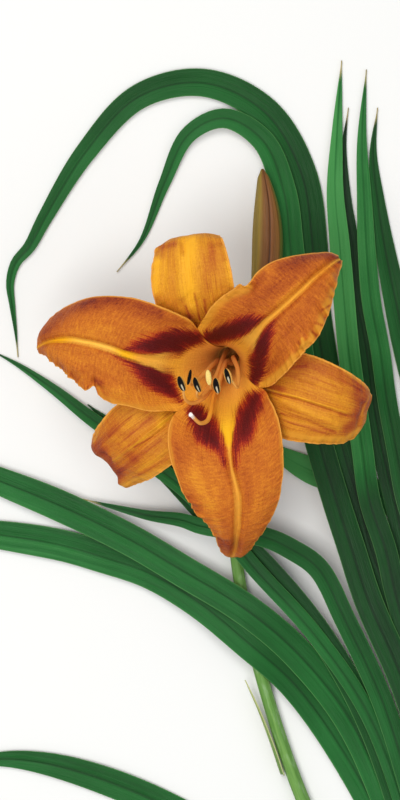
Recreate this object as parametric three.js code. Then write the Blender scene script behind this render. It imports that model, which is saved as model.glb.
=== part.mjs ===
// A daylily plant cut at its base and laid down: two small fans of strap leaves on one
// crown, a flower scape with buds, and one open flower facing up.
// Millimetres, +Z up. The plant lies on z = 0 with its leaves running towards +Y.
import * as THREE from "three";

// ---------------------------------------------------------------- driving dimensions
const ORIGIN = [35.5, -97.5]; // centre of the plant's own box, from the middle of the flower
const GAP = 0.3; // clearance between pieces that touch

// flower: a funnel of six tepals on a tube, in its own frame with h along its axis
const FLOWER_MOUTH = [12.5, 18.5, 34]; // middle of the tube's mouth
const FACING_TILT = 18; // degrees the flower's axis leans from straight up
const FACING_AZIMUTH = 228.3; // degrees, the way it leans
const TEPAL_THICKNESS = 0.8;
const TUBE_LENGTH = 26;
const RIM_DROP = 0.35; // the tube's rim below the tepals' bases

// Each row of a tepal: radius, height, then the angles in degrees of one edge,
// the midrib and the other edge, counted anticlockwise about the flower's axis.
const TEPALS = {
  petal_left: [
    [4.5, 0, 113, 171, 229], [6.5, 9, 113, 171, 229], [9.5, 18, 112.5, 171, 229],
    [14, 27, 112, 170, 229], [20, 35, 109.5, 167, 228], [25, 39, 110, 166, 218.5],
    [30, 42, 116.5, 165.8, 210.5], [37, 44.8, 124.5, 165, 200], [43, 45.8, 131, 164, 195.4],
    [46.2, 46.2, 134.2, 164, 191.3], [47.4, 46.3, 135.4, 164, 188.3], [48.4, 46.4, 136.5, 164.1, 185],
    [50, 46.4, 138, 164.2, 186.2], [52, 46.2, 140, 164.5, 187], [54.5, 45.9, 142.4, 165, 185.4],
    [60, 44.8, 147.8, 166, 181], [67, 41.6, 155.7, 168.6, 177.6], [72, 38.2, 161.6, 171, 176],
    [75, 35.5, 166.2, 173, 175.8], [76.7, 33.8, 171, 174.2, 175.4],
  ],
  petal_right: [
    [4.5, 0, -10, 48, 108], [6.5, 9, -10, 48, 108], [9.5, 18, -10, 48, 108],
    [14, 27, -11, 46, 108.5], [19, 34, -11.5, 42, 107], [22, 36.7, -10, 43.5, 102],
    [26, 39.7, -4.5, 45, 95], [30, 42, 3.6, 46.3, 89.3], [35, 44.1, 11.2, 47, 82],
    [38.4, 45, 15.3, 46.5, 77.4], [41, 45.5, 17.6, 46.2, 74.2], [42.8, 45.8, 19.4, 46.1, 72.4],
    [43.8, 46, 20.5, 46, 68.3], [46, 46.2, 21.4, 45.9, 67.4], [50, 46.4, 23.8, 45.7, 66.4],
    [56, 45.6, 29, 45.5, 63], [62, 44, 34.3, 45.5, 57.5], [68, 41, 39.3, 45, 51.7],
    [72, 38.2, 41.9, 44.5, 48.2], [73.8, 36.6, 43, 44, 45.2],
  ],
  petal_front: [
    [4.5, 0, -127, -70, -14], [6.5, 9, -127, -70, -14], [9.5, 18, -127.5, -70, -14.5],
    [14, 27, -128, -70, -15], [19, 34, -129.5, -71, -16], [23, 37.5, -133, -72, -13.5],
    [27, 40.3, -130, -73, -19], [32, 42.9, -123.3, -74.3, -26], [38, 45, -115, -75, -35],
    [44, 46, -107.4, -74.8, -43.5], [50, 46.4, -102.3, -75, -50.5], [53.4, 46, -98, -75.8, -54.4],
    [56.4, 45.5, -97.1, -76.6, -57.2], [59.2, 44.8, -93.7, -77.5, -60.1], [63, 43.6, -90.7, -78.6, -64.2],
    [68, 41, -88.9, -80.2, -69.5], [74, 36.6, -88.2, -82, -75.4],
    [79, 31.8, -87.8, -83.8, -79.2], [81.5, 28.4, -86.4, -84.8, -82.8],
  ],
  sepal_top: [
    [6, 0, 62, 109, 156], [8.4, 9, 62, 109, 156], [11.6, 17, 63, 108, 154],
    [16.8, 25, 64, 106.5, 148], [24, 31.6, 67, 105, 141], [31, 35.6, 71, 104.5, 135],
    [38, 38, 75.5, 103.5, 129], [44, 38.4, 78.7, 102.5, 125.3], [50, 37.6, 82, 102, 121.3],
    [54, 36, 84.3, 101.8, 118], [57, 33, 86.6, 101.5, 116.4], [57.8, 28.5, 90, 101.2, 112.5],
    [56.4, 24.5, 95.5, 101, 106.5],
  ],
  sepal_right: [
    [6, 0, -58, -13, 34], [8.4, 9, -58, -13, 34], [11.6, 17, -57, -12.5, 33],
    [16.8, 25, -54, -12, 30], [24, 31.6, -50, -11, 25], [32, 36, -45, -9, 19],
    [40, 38, -39.7, -8.8, 16.7], [47, 38, -34.5, -10, 11.7], [53, 36.6, -31, -11, 6.8],
    [58, 33.8, -28.6, -12, 2.6], [62, 29.8, -26.8, -13, -1.4], [64.4, 26.6, -23.6, -13, -4.4],
    [65.4, 24, -19.6, -13, -7.4],
  ],
  sepal_left: [
    [6, 0, -176, -131, -85], [8.4, 9, -176, -131, -85], [11.6, 17, -175, -131, -86],
    [16.8, 25, -172, -131, -89], [24, 31.6, -168, -131.5, -95], [32, 36, -165, -133, -104],
    [40, 38, -162, -134.5, -111.5], [46, 38.1, -159.3, -135, -115.8], [52, 36.9, -155.7, -135.5, -119],
    [57, 34.4, -153, -136.5, -121.8], [60.5, 31.5, -151, -137, -123.7], [63.2, 28.4, -149, -137.4, -125.4],
    [64.6, 25.5, -146, -137.4, -128.4],
  ],
};

// Stamens in the flower's frame: the filament's points, then the anther's middle and
// the way its long side points.
const FILAMENT = {
  radius: 0.65, tipRadius: 0.42,
  root: { radius: 2.75, height: -1.5 }, mouth: { radius: 2.9, height: 4 },
};
const ANTHER = { radius: 1.45, length: 3.2, standoff: 1.5 }; // standoff: filament tip below its middle
const STAMENS = [
  {
    root: 255, anther: [-9.3, 0.1, 53.4], lies: [-0.35, 1, 0.1],
    path: [
      [-2.7, -7.2, 21.3], [-4.3, -10.4, 34], [-7.5, -11, 41.1], [-9.2, -7.9, 47],
      [-9.4, -3.6, 50],
    ],
  },
  {
    root: 195, anther: [-6.2, 2.7, 52.5], lies: [0.2, 1, 0],
    path: [
      [-2.7, 1, 14], [-3.7, 0.3, 27], [-5.6, -1.8, 38], [-6.9, -2, 46],
    ],
  },
  {
    root: 225, anther: [-3.4, -0.7, 50.6], lies: [-0.35, 1, 0.1],
    path: [
      [-1.3, -3.2, 17.4], [-2.6, -6.6, 32.6], [-4.2, -8, 42.8], [-4.1, -4.8, 48],
    ],
  },
  {
    root: 105, anther: [1.7, 2.8, 51.7], lies: [-0.1, 1, 0.1],
    path: [
      [-0.1, 1.2, 16.8], [0.6, -2.6, 33.4], [1, -3.8, 42.9], [1.5, -1.4, 46.9],
    ],
  },
  {
    root: 320, anther: [4.7, -0.9, 49.8], lies: [-0.18, 1, 0.1],
    path: [
      [1.5, 0.9, 12], [2, -1.2, 26], [3, -4.8, 38], [4.2, -5.2, 45.6],
    ],
  },
  {
    root: 10, anther: [9, 2.9, 47.9], lies: [-0.3, 1, 0],
    path: [
      [4.7, 2.9, 14.2], [8.8, 1.2, 26], [11.2, -1.5, 36], [11.6, -3.2, 42],
    ],
  },
];
// radii, and where along the path the ovary narrows and the stigma starts
const PISTIL = {
  ovary: 1.5, style: 0.6, stigma: 1.1, neck: [0.06, 0.1], stigmaStart: 0.985,
  path: [
    [0, 0, -19], [0, -0.6, -6], [-0.2, -2.2, 6], [-1.2, -5, 16.3], [-0.9, -9.4, 27.7],
    [-0.4, -12.4, 34.6], [0.2, -15, 40.5], [-0.1, -17, 46.3], [-1.9, -16.6, 51.8],
    [-3.6, -13.6, 55.7], [-4.7, -11.1, 58.4],
  ],
};

// crown: the short stock that the leaves grow from, trimmed below
const CROWN = { top: -318, bottom: -346, middle: 110, halfWidth: 32, halfHeight: 7.4, lift: 5.6 };
// width and height of the crown as parts of its largest, from the top to the trimmed end
const CROWN_OUTLINE = [[1, 1], [1, 1], [0.97, 1], [0.86, 0.97], [0.66, 0.9], [0.5, 0.8]];
const LEAF_START = CROWN.top + GAP;

// flower stalk, its branches and buds: radii at the two ends of each route
const SCAPE = {
  radii: [3.8, 2.5],
  route: [
    [99, LEAF_START, 4.1], [98, -300, 4.1], [89, -271, 3.9], [65, -222, 3.7], [39, -160, 3.6],
    [22, -102, 3.4], [16, -69, 3.2], [14, -35, 3], [15, -6, 2.9], [16, 2, 2.9],
  ],
};
const STALKS = {
  flower_stalk: {
    radii: [2, 1.9],
    route: [
      [16.1, 2.4, 2.95], [17, 12, 3.1], [17.8, 18.5, 3.7], [18.3, 22.8, 5.6], [18.1, 24.5, 7.7],
    ],
  },
  bud_stalk_long: {
    radii: [1.4, 1.6],
    route: [
      [19.9, 1, 3], [23.4, 12, 4.2], [25.4, 24, 6.8], [26.6, 35, 9.4],
    ],
  },
  bud_stalk_short: {
    radii: [1.2, 1.3],
    route: [
      [12, 1, 2.6], [9.4, 12, 3.2], [6.5, 22, 4.6],
    ],
  },
};
// the foot's width and the curve of the belly and tip, as parts of the widest
const BUD_OUTLINE = { foot: 0.28, arc: [0.06, 0.96], fullness: 0.8, tipCut: 0.45, blunt: 6 };
const BUDS = {
  bud_large: {
    radius: 7,
    route: [
      [26.7, 35.6, 9.6], [28, 48, 10], [29.6, 64, 10], [29.4, 84, 9.7], [27.5, 102, 9.4],
    ],
  },
  bud_medium: {
    radius: 4,
    route: [
      [6.3, 22.5, 4.7], [3.6, 29, 5], [0.5, 36, 5], [-3, 43, 4.8],
    ],
  },
  bud_small: {
    radius: 2.5,
    route: [
      [18.2, -10.9, 3], [24, -8, 3.2], [29, -4.6, 3.4], [33, -1, 3.2],
    ],
  },
};
const BRACT = { fold: 0.15, thickness: 0.6, point: 0.3, taper: 2.2 };
const BRACTS = {
  bract_flower: {
    width: 6, faces: [-0.2, 0.1, 1],
    route: [
      [15, -7, 6.3], [14, 1, 6.8], [12.6, 10, 8.4], [10, 19, 10.4],
    ],
  },
  bract_bud: {
    width: 5.4, faces: [0.9, -0.1, 0.3],
    route: [
      [17.4, -26, 3.4], [18.2, -20, 3.6], [20.4, -14, 5.6], [24, -7.6, 7.8],
    ],
  },
  bract_scape: {
    width: 7, faces: [-0.9, -0.3, 0.2],
    route: [
      [37.2, -166, 4], [32.4, -152, 4.2], [26.8, -138, 4.8], [20, -124, 5.6],
    ],
  },
};

// What all leaves share: thickness, the keel's fold and the part of the length over which
// it sets in, the width at the crown, the part over which the blade opens from it, the
// width of its point, its straight start, and the length of one step along it.
const LEAF = {
  thickness: 0.7, foldAngle: 9, folds: [0.5, 0.75], baseWidth: 12.5, opens: 0.28, point: 0.5,
  straight: 5, step: 18,
};
const LEFT_FAN = 111; // x where the left fan's leaves start
const RIGHT_FAN = 129.5;
const OUTER_FAN = 87; // leaves on the far side of the scape
// Each leaf: width, the length over which its tip narrows, and the route of its keel from
// its place on the crown.
const LEAVES = {
  // left fan, from the lowest leaf up
  leaf_01: {
    width: 14, tip: 80, from: [LEFT_FAN, 1.1],
    route: [
      [110, -267, 1.1], [91, -209, 1.1], [66, -160, 1.4], [42, -126, 5], [21, -107, 8.4],
      [0, -90, 5], [-22, -77, 1.8], [-45, -69.3, 0.9], [-62, -64.5, 0.6], [-89, -60, 0.6],
      [-116, -57, 0.6], [-144, -58, 0.6],
    ],
  },
  leaf_02: {
    width: 14, tip: 100, from: [LEFT_FAN, 2.4],
    route: [
      [110, -266, 2.4], [94, -209, 2.5], [69, -146, 3.4], [44, -113, 7.6], [21, -93, 10.2],
      [-7, -76, 6.6], [-31, -62, 4.4], [-62, -47, 3], [-89, -36, 2], [-120, -24, 1],
      [-151, -18, 0.6],
    ],
  },
  leaf_03: {
    width: 11, tip: 60, from: [LEFT_FAN, 3.7],
    route: [
      [112, -266, 3.7], [97, -209, 3.9], [75, -143, 5.4], [52, -102, 8.6], [24, -69, 8.6],
      [4, -51, 5], [-13, -33, 1.6], [-31, -18, 0.6], [-44, -7, 0.6], [-50, -2, 0.6],
    ],
  },
  leaf_04: {
    width: 7.5, tip: 90, from: [LEFT_FAN, 5],
    route: [
      [112, -266, 5], [98, -208, 5.4], [76, -142, 7], [51, -104, 9.8], [24, -74, 11],
      [8, -54.5, 8], [-6, -40, 5.3], [-19, -30, 3.6], [-34, -18.5, 2.6], [-50, -7, 2.4],
      [-64, 4, 2], [-80, 15, 1], [-89, 20, 0.6], [-93, 22, 0.6],
    ],
  },
  leaf_05: {
    width: 9.5, tip: 110, from: [LEFT_FAN, 6.3],
    route: [
      [113, -266, 6.3], [102, -208, 7], [82, -137, 8.8], [64, -97, 11.4], [52, -74, 12.6],
      [40, -65.5, 13.2], [30, -60.8, 13.5], [15, -57.6, 13.6], [0, -55.5, 11.4], [-8, -53, 9.6],
      [-23, -51, 6.4], [-40, -47, 4.4], [-52, -44, 3.4],
    ],
  },
  // right fan, from the lowest leaf up
  leaf_06: {
    width: 12.5, tip: 34, from: [RIGHT_FAN, 1.1],
    route: [
      [134, -267, 1.1], [134, -200, 0.6], [128, -133, 0.6], [116, -89, 0.6], [102, -60, 0.6],
      [89, -48, 0.6], [79, -42, 0.6], [67, -37, 0.6], [51, -32, 0.6], [40, -26.5, 0.6],
      [33, -22, 0.6], [27, -17.5, 0.6],
    ],
  },
  leaf_07: {
    width: 13, tip: 150, from: [RIGHT_FAN, 2.4],
    route: [
      [133, -266, 2.4], [131, -200, 2.4], [123, -124, 2.6], [115, -71, 3.2], [108, -44, 3.2],
      [104, -22, 1.8], [98, 0, 0.6], [92, 22, 0.6], [87, 44, 0.6], [82, 69, 0.6], [79, 89, 0.6],
      [77, 110, 0.6], [79, 130, 0.6],
    ],
  },
  leaf_08: {
    width: 9, tip: 130, from: [RIGHT_FAN, 3.7],
    route: [
      [132, -266, 3.7], [123, -199, 3.7], [107, -124, 3.8], [92, -71, 3.6], [86, -44, 3.1],
      [81, -22, 1.6], [77, 0, 0.6], [74, 22, 0.6], [70, 44, 0.6], [68, 67, 0.6], [65, 89, 0.6],
      [64, 112, 0.6], [66, 130, 0.6],
    ],
  },
  leaf_09: {
    width: 8.6, tip: 110, from: [RIGHT_FAN, 5],
    route: [
      [131, -266, 5], [126, -200, 5], [112, -124, 5.6], [98, -66, 6], [91, -44, 5.4],
      [87, -22, 4.2], [83, 0, 3], [80, 22, 2.8], [76, 44, 2.8], [74, 67, 2.6], [73, 89, 2.2],
      [72, 116, 1.4], [74, 147, 0.6],
    ],
  },
  leaf_10: {
    width: 13.5, tip: 230, from: [RIGHT_FAN, 6.3],
    route: [
      [130, -265, 6.3], [119, -199, 6.3], [102, -137, 6.8], [86, -93, 7.4], [76, -67, 6.2],
      [70, -44, 4], [64, -24, 3], [58, 0, 0.6], [54, 22, 0.6], [51, 44, 0.6], [50, 69, 0.6],
      [45, 101, 0.6], [29, 128, 0.6], [2, 141, 0.6], [-27, 135, 0.6], [-51, 110, 0.6],
      [-69, 81, 0.6], [-76, 68, 0.6], [-82, 61, 0.6], [-84.5, 52, 0.6], [-83.5, 42, 0.6],
      [-82, 30, 0.6], [-81, 19, 0.6],
    ],
  },
  leaf_11: {
    width: 9.6, tip: 110, from: [RIGHT_FAN, 7.6],
    route: [
      [128, -265, 7.6], [116, -199, 7.6], [98, -128, 9], [86, -84, 9.6], [82, -66, 8.8],
      [75, -44, 6.6], [72, -22, 4.6], [69, 0, 3.2], [66, 22, 3], [64, 44, 2.8], [62, 69, 2.6],
      [60, 93, 2], [61, 120, 1.2], [63, 151, 0.6],
    ],
  },
  leaf_12: {
    width: 12.4, tip: 190, from: [RIGHT_FAN, 8.9],
    route: [
      [127, -265, 8.9], [112, -199, 8.9], [91, -128, 10.6], [74, -88, 11], [67, -66, 8.6],
      [60, -44, 6.6], [53, -20, 5], [48, 0, 3.6], [44, 22, 3.2], [42, 44, 2.8], [40, 69, 2.4],
      [37, 93, 3], [28, 115, 3], [11, 125, 3], [-5, 118, 2], [-16, 96, 0.8], [-26, 71, 0.6],
      [-37, 57, 0.6],
    ],
  },
  // leaves on the far side of the scape
  leaf_13: {
    width: 13, tip: 90, from: [OUTER_FAN, 1.1],
    route: [
      [85, -300, 1.1], [72, -264, 1.1], [45, -226, 0.6], [5, -192, 0.6], [-40, -170, 0.6],
      [-80, -160, 0.6], [-115, -162, 0.6],
    ],
  },
  leaf_14: {
    width: 12, tip: 80, from: [OUTER_FAN, 2.4],
    route: [
      [84, -301, 2.4], [68, -272, 2.4], [38, -245, 1.6], [0, -228, 0.6], [-40, -224, 0.6],
      [-80, -232, 0.6],
    ],
  },
  leaf_15: {
    width: 9, tip: 60, from: [OUTER_FAN, 3.7],
    route: [
      [83, -303, 3.7], [64, -283, 3.4], [34, -270, 1.4], [4, -268, 0.6], [-24, -278, 0.6],
    ],
  },
  // leaves that arch away to the right
  leaf_16: {
    width: 13, tip: 90, from: [RIGHT_FAN, 10.2],
    route: [
      [133, -280, 10.2], [139, -258, 10], [147, -232, 7.6], [157, -195, 2.6], [166, -145, 0.6],
      [180, -90, 0.6], [196, -40, 0.6], [216, 8, 0.6],
    ],
  },
  leaf_17: {
    width: 11, tip: 80, from: [RIGHT_FAN, 11.6],
    route: [
      [136, -284, 11.7], [154, -251, 10.6], [174, -220, 4], [196, -192, 1], [222, -168, 0.6],
    ],
  },
};

// how finely the bodies are divided along their routes and around them
const STEPS = { scape: 32, stalk: 10, bud: 16, bract: 8, filament: 16, pistil: 34, antherCap: 4 };
const SIDES = { scape: 10, stalk: 8, bud: 12, filament: 6, pistil: 8, tube: 16, anther: 10, crown: 20 };
const TEPAL_COLUMNS = 7;
const MATCH_STEPS = 1e4; // points that agree to this part of a millimetre are one point

// ---------------------------------------------------------------- colours
const LEAF_GREENS = [0x2f7a3a, 0x276b35, 0x3a8a44];
const FINISHES = {
  petal: { color: 0xd0702a, roughness: 0.55, metalness: 0 },
  sepal: { color: 0xe09a2e, roughness: 0.55, metalness: 0 },
  stalk: { color: 0x5f9a3c, roughness: 0.6, metalness: 0 },
  tube: { color: 0xb9b04a, roughness: 0.55, metalness: 0 },
  bud: { color: 0xa08a34, roughness: 0.6, metalness: 0 },
  filament: { color: 0xe8a048, roughness: 0.5, metalness: 0 },
  anther: { color: 0x1d1a1c, roughness: 0.8, metalness: 0 },
  crown: { color: 0xcdbb8e, roughness: 0.8, metalness: 0 },
};

// ---------------------------------------------------------------- geometry helpers
const RAD = Math.PI / 180;
const LEVEL_LIMIT = 0.3; // a route steeper than this takes its first side from X

function vector(point) {
  return new THREE.Vector3(...point);
}

// closed body from a list of points and a list of triangles
function body(points, triangles) {
  const geometry = new THREE.BufferGeometry();
  const coordinates = points.flatMap((p) => p.toArray());
  geometry.setAttribute("position", new THREE.Float32BufferAttribute(coordinates, 3));
  geometry.setIndex(triangles.flat());
  geometry.computeVertexNormals();
  return geometry;
}

// unit normals of a grid of points, by rows and columns
function gridNormals(grid) {
  return grid.map((row, i) => row.map((point, j) => {
    const along = grid[Math.min(i + 1, grid.length - 1)][j].clone().sub(grid[Math.max(i - 1, 0)][j]);
    const across = row[Math.min(j + 1, row.length - 1)].clone().sub(row[Math.max(j - 1, 0)]);
    return along.cross(across).normalize();
  }));
}

// A sheet of even thickness: `face` is its grid of points and the body lies behind it,
// on the far side from the normals.
function sheet(face, thickness, centred = false) {
  const normals = gridNormals(face);
  const moved = (point, normal, amount) => point.clone().addScaledVector(normal, amount);
  const shift = (amount) => face.map((row, i) => row.map((p, j) => moved(p, normals[i][j], amount)));
  const front = shift(centred ? thickness / 2 : 0);
  const back = shift(centred ? -thickness / 2 : -thickness);
  const rows = face.length;
  const columns = face[0].length;
  const points = [...front.flat(), ...back.flat()];
  const offset = rows * columns;
  const at = (i, j) => i * columns + j;
  const triangles = [];
  const quad = (a, b, c, d) => triangles.push([a, b, c], [a, c, d]);
  for (let i = 0; i < rows - 1; i++) {
    for (let j = 0; j < columns - 1; j++) {
      quad(at(i, j), at(i + 1, j), at(i + 1, j + 1), at(i, j + 1));
      quad(offset + at(i, j), offset + at(i, j + 1), offset + at(i + 1, j + 1), offset + at(i + 1, j));
    }
    const last = columns - 1;
    quad(at(i, 0), offset + at(i, 0), offset + at(i + 1, 0), at(i + 1, 0));
    quad(at(i, last), at(i + 1, last), offset + at(i + 1, last), offset + at(i, last));
  }
  for (let j = 0; j < columns - 1; j++) {
    const last = rows - 1;
    quad(at(0, j), at(0, j + 1), offset + at(0, j + 1), offset + at(0, j));
    quad(at(last, j), offset + at(last, j), offset + at(last, j + 1), at(last, j + 1));
  }
  return body(points, triangles);
}

// A round body swept along a route, with radius(t) for t from 0 to 1 and closed ends.
function sweep(route, radius, steps, sides) {
  const curve = new THREE.CatmullRomCurve3(route.map(vector), false, "centripetal");
  const points = [];
  const triangles = [];
  const ends = [curve.getPointAt(0), curve.getPointAt(1)];
  const start = curve.getTangentAt(0);
  const steep = Math.hypot(start.x, start.y) < LEVEL_LIMIT;
  const side = steep ? new THREE.Vector3(1, 0, 0) : start.clone().cross(new THREE.Vector3(0, 0, 1));
  for (let i = 0; i <= steps; i++) {
    const t = i / steps;
    const tangent = curve.getTangentAt(t);
    side.addScaledVector(tangent, -side.dot(tangent)).normalize();
    const rise = new THREE.Vector3().crossVectors(tangent, side);
    for (let k = 0; k < sides; k++) {
      const angle = (2 * Math.PI * k) / sides;
      const r = radius(t);
      const p = curve.getPointAt(t);
      p.addScaledVector(side, r * Math.cos(angle)).addScaledVector(rise, r * Math.sin(angle));
      points.push(p);
    }
  }
  const first = points.push(ends[0]) - 1;
  const last = points.push(ends[1]) - 1;
  for (let k = 0; k < sides; k++) {
    const next = (k + 1) % sides;
    for (let i = 0; i < steps; i++) {
      const a = i * sides;
      const b = a + sides;
      triangles.push([a + k, a + next, b + next], [a + k, b + next, b + k]);
    }
    triangles.push([first, next, k], [last, steps * sides + k, steps * sides + next]);
  }
  return body(points, triangles);
}

// ---------------------------------------------------------------- pieces
const plant = new THREE.Group();

function add(parent, name, geometry, finish) {
  const mesh = new THREE.Mesh(geometry, new THREE.MeshStandardMaterial(finish));
  mesh.name = name;
  parent.add(mesh);
  return mesh;
}

// One tepal: across each row the angle runs from edge to midrib to edge.
function tepal(rows) {
  const columns = TEPAL_COLUMNS;
  const curve = (index) => new THREE.CatmullRomCurve3(
    rows.map(([radius, height, ...angles]) => new THREE.Vector3(
      radius * Math.cos(angles[index] * RAD), radius * Math.sin(angles[index] * RAD), height)),
    false, "centripetal");
  const [start, middle, end] = [curve(0), curve(1), curve(2)];
  const face = [];
  const stations = rows.length - 1;
  for (let i = 0; i <= stations; i++) {
    const u = i / stations;
    const a = start.getPoint(u);
    const m = middle.getPoint(u);
    const b = end.getPoint(u);
    const angleOf = (p) => Math.atan2(p.y, p.x);
    const unwrap = (angle, near) => angle + 2 * Math.PI * Math.round((near - angle) / (2 * Math.PI));
    const mid = angleOf(m);
    const from = unwrap(angleOf(a), mid);
    const to = unwrap(angleOf(b), mid);
    const row = [];
    for (let j = 0; j < columns; j++) {
      const v = (2 * j) / (columns - 1) - 1;
      const angle = v < 0 ? mid + (mid - from) * v : mid + (to - mid) * v;
      const reach = Math.abs(v);
      const edge = v < 0 ? a : b;
      const radius = Math.hypot(m.x, m.y) * (1 - reach) + Math.hypot(edge.x, edge.y) * reach;
      const height = m.z * (1 - reach) + edge.z * reach;
      row.push(new THREE.Vector3(radius * Math.cos(angle), radius * Math.sin(angle), height));
    }
    face.push(row);
  }
  return sheet(face, TEPAL_THICKNESS);
}

// The tube below the tepals: an open cup with a flat rim that their bases sit on.
function perianthTube() {
  const outline = [
    [0, -TUBE_LENGTH], [2.1, -TUBE_LENGTH], [3, -TUBE_LENGTH + 3], [3.4, -16], [4.2, -8],
    [5.6, -3], [7, -RIM_DROP], [3.9, -RIM_DROP], [3.6, -4], [2.8, -12], [2.2, -20], [0, -20.4],
  ];
  const geometry = new THREE.LatheGeometry(outline.map(([r, h]) => new THREE.Vector2(r, h)), SIDES.tube);
  return weld(geometry.rotateX(Math.PI / 2));
}

// A geometry whose triangles share their points, which closes the seam of a turned body.
function weld(geometry) {
  const position = geometry.getAttribute("position");
  const points = [];
  const keys = new Map();
  const indexOf = Array.from({ length: position.count }, (_, i) => {
    const p = new THREE.Vector3().fromBufferAttribute(position, i);
    const key = p.toArray().map((value) => Math.round(value * MATCH_STEPS)).join(",");
    if (!keys.has(key)) {
      keys.set(key, points.length);
      points.push(p);
    }
    return keys.get(key);
  });
  const triangles = [];
  const index = geometry.getIndex();
  for (let i = 0; i < index.count; i += 3) {
    const [a, b, c] = [0, 1, 2].map((k) => indexOf[index.getX(i + k)]);
    if (a !== b && b !== c && a !== c) {
      triangles.push([a, b, c]);
    }
  }
  return body(points, triangles);
}

function stamen(flower, number, { root, path, anther, lies }) {
  const beside = ({ radius, height }) => [
    radius * Math.cos(root * RAD), radius * Math.sin(root * RAD), height];
  const tip = [anther[0], anther[1], anther[2] - ANTHER.standoff - GAP];
  const route = [beside(FILAMENT.root), beside(FILAMENT.mouth), ...path, tip];
  const taper = (t) => THREE.MathUtils.lerp(FILAMENT.radius, FILAMENT.tipRadius, t);
  const thread = sweep(route, taper, STEPS.filament, SIDES.filament);
  add(flower, `filament_${number}`, thread, FINISHES.filament);
  const capsule = new THREE.CapsuleGeometry(ANTHER.radius, ANTHER.length, STEPS.antherCap, SIDES.anther);
  const mesh = add(flower, `anther_${number}`, weld(capsule), FINISHES.anther);
  mesh.position.set(...anther);
  mesh.quaternion.setFromUnitVectors(new THREE.Vector3(0, 1, 0), vector(lies).normalize());
}

function pistil() {
  const { ovary, style, stigma, neck, stigmaStart, path } = PISTIL;
  const radius = (t) => {
    if (t > stigmaStart) {
      return stigma;
    }
    return THREE.MathUtils.lerp(ovary, style, THREE.MathUtils.smoothstep(t, ...neck));
  };
  return sweep(path, radius, STEPS.pistil, SIDES.pistil);
}

function buildFlower() {
  const flower = new THREE.Group();
  const [tilt, azimuth] = [FACING_TILT * RAD, FACING_AZIMUTH * RAD];
  const axis = new THREE.Vector3(
    Math.sin(tilt) * Math.cos(azimuth), Math.sin(tilt) * Math.sin(azimuth), Math.cos(tilt));
  const across = new THREE.Vector3(1, 0, 0).addScaledVector(axis, -axis.x).normalize();
  const rise = new THREE.Vector3().crossVectors(axis, across);
  flower.quaternion.setFromRotationMatrix(new THREE.Matrix4().makeBasis(across, rise, axis));
  flower.position.set(...FLOWER_MOUTH);
  for (const [name, rows] of Object.entries(TEPALS)) {
    add(flower, name, tepal(rows), name.startsWith("petal") ? FINISHES.petal : FINISHES.sepal);
  }
  add(flower, "perianth_tube", perianthTube(), FINISHES.tube);
  STAMENS.forEach((each, i) => stamen(flower, i + 1, each));
  add(flower, "pistil", pistil(), FINISHES.filament);
  plant.add(flower);
}

// A ribbon along a route, with a keel. up is the way its face looks, and fold(t) how far
// its edges stand above the keel for each millimetre of half width.
function ribbon(route, up, halfWidth, fold, thickness, steps) {
  const curve = new THREE.CatmullRomCurve3(route.map(vector), false, "centripetal");
  const face = [];
  for (let i = 0; i <= steps; i++) {
    const t = i / steps;
    const tangent = curve.getTangentAt(t);
    const across = new THREE.Vector3().crossVectors(tangent, up).normalize();
    const normal = new THREE.Vector3().crossVectors(across, tangent).normalize();
    face.push([-1, 0, 1].map((v) => curve.getPointAt(t)
      .addScaledVector(across, -v * halfWidth(t))
      .addScaledVector(normal, Math.abs(v) * halfWidth(t) * fold(t))));
  }
  return sheet(face.map((row) => row.reverse()), thickness, true);
}

function leaf({ width, tip, from, route }) {
  const [x, z] = from;
  const points = [[x, LEAF_START, z], [x, LEAF_START + LEAF.straight, z], ...route];
  const length = new THREE.CatmullRomCurve3(points.map(vector), false, "centripetal").getLength();
  const halfWidth = (t) => {
    const opened = LEAF.baseWidth + (width - LEAF.baseWidth) * Math.min(1, t / LEAF.opens);
    const toTip = Math.min(1, ((1 - t) * length) / tip);
    return Math.max(LEAF.point, opened * (1 - (1 - toTip) ** 2)) / 2;
  };
  const steps = Math.round(length / LEAF.step);
  const fold = (t) => Math.tan(LEAF.foldAngle * RAD) * THREE.MathUtils.smoothstep(t, ...LEAF.folds);
  return ribbon(points, new THREE.Vector3(0, 0, 1), halfWidth, fold, LEAF.thickness, steps);
}

function buildLeaves() {
  Object.entries(LEAVES).forEach(([name, each], i) => {
    const color = LEAF_GREENS[i % LEAF_GREENS.length];
    add(plant, name, leaf(each), { color, roughness: 0.5, metalness: 0 });
  });
}

// The crown is a flattened stock with a flat underside, narrowing to the trimmed end.
function crown() {
  const { top, bottom, middle, halfWidth, halfHeight, lift } = CROWN;
  const sides = SIDES.crown;
  const points = [];
  const triangles = [];
  const rings = CROWN_OUTLINE.length - 1;
  CROWN_OUTLINE.forEach(([wide, high], i) => {
    const y = top + ((bottom - top) * i) / rings;
    for (let k = 0; k < sides; k++) {
      const angle = (2 * Math.PI * k) / sides;
      const x = middle + halfWidth * wide * Math.cos(angle);
      points.push(new THREE.Vector3(x, y, Math.max(0, lift + halfHeight * high * Math.sin(angle))));
    }
  });
  const first = points.push(new THREE.Vector3(middle, top, lift)) - 1;
  const last = points.push(new THREE.Vector3(middle, bottom, lift)) - 1;
  for (let k = 0; k < sides; k++) {
    const next = (k + 1) % sides;
    for (let i = 0; i < rings; i++) {
      const a = i * sides;
      const b = a + sides;
      triangles.push([a + k, a + next, b + next], [a + k, b + next, b + k]);
    }
    const end = rings * sides;
    triangles.push([first, next, k], [last, end + k, end + next]);
  }
  return body(points, triangles);
}

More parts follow.
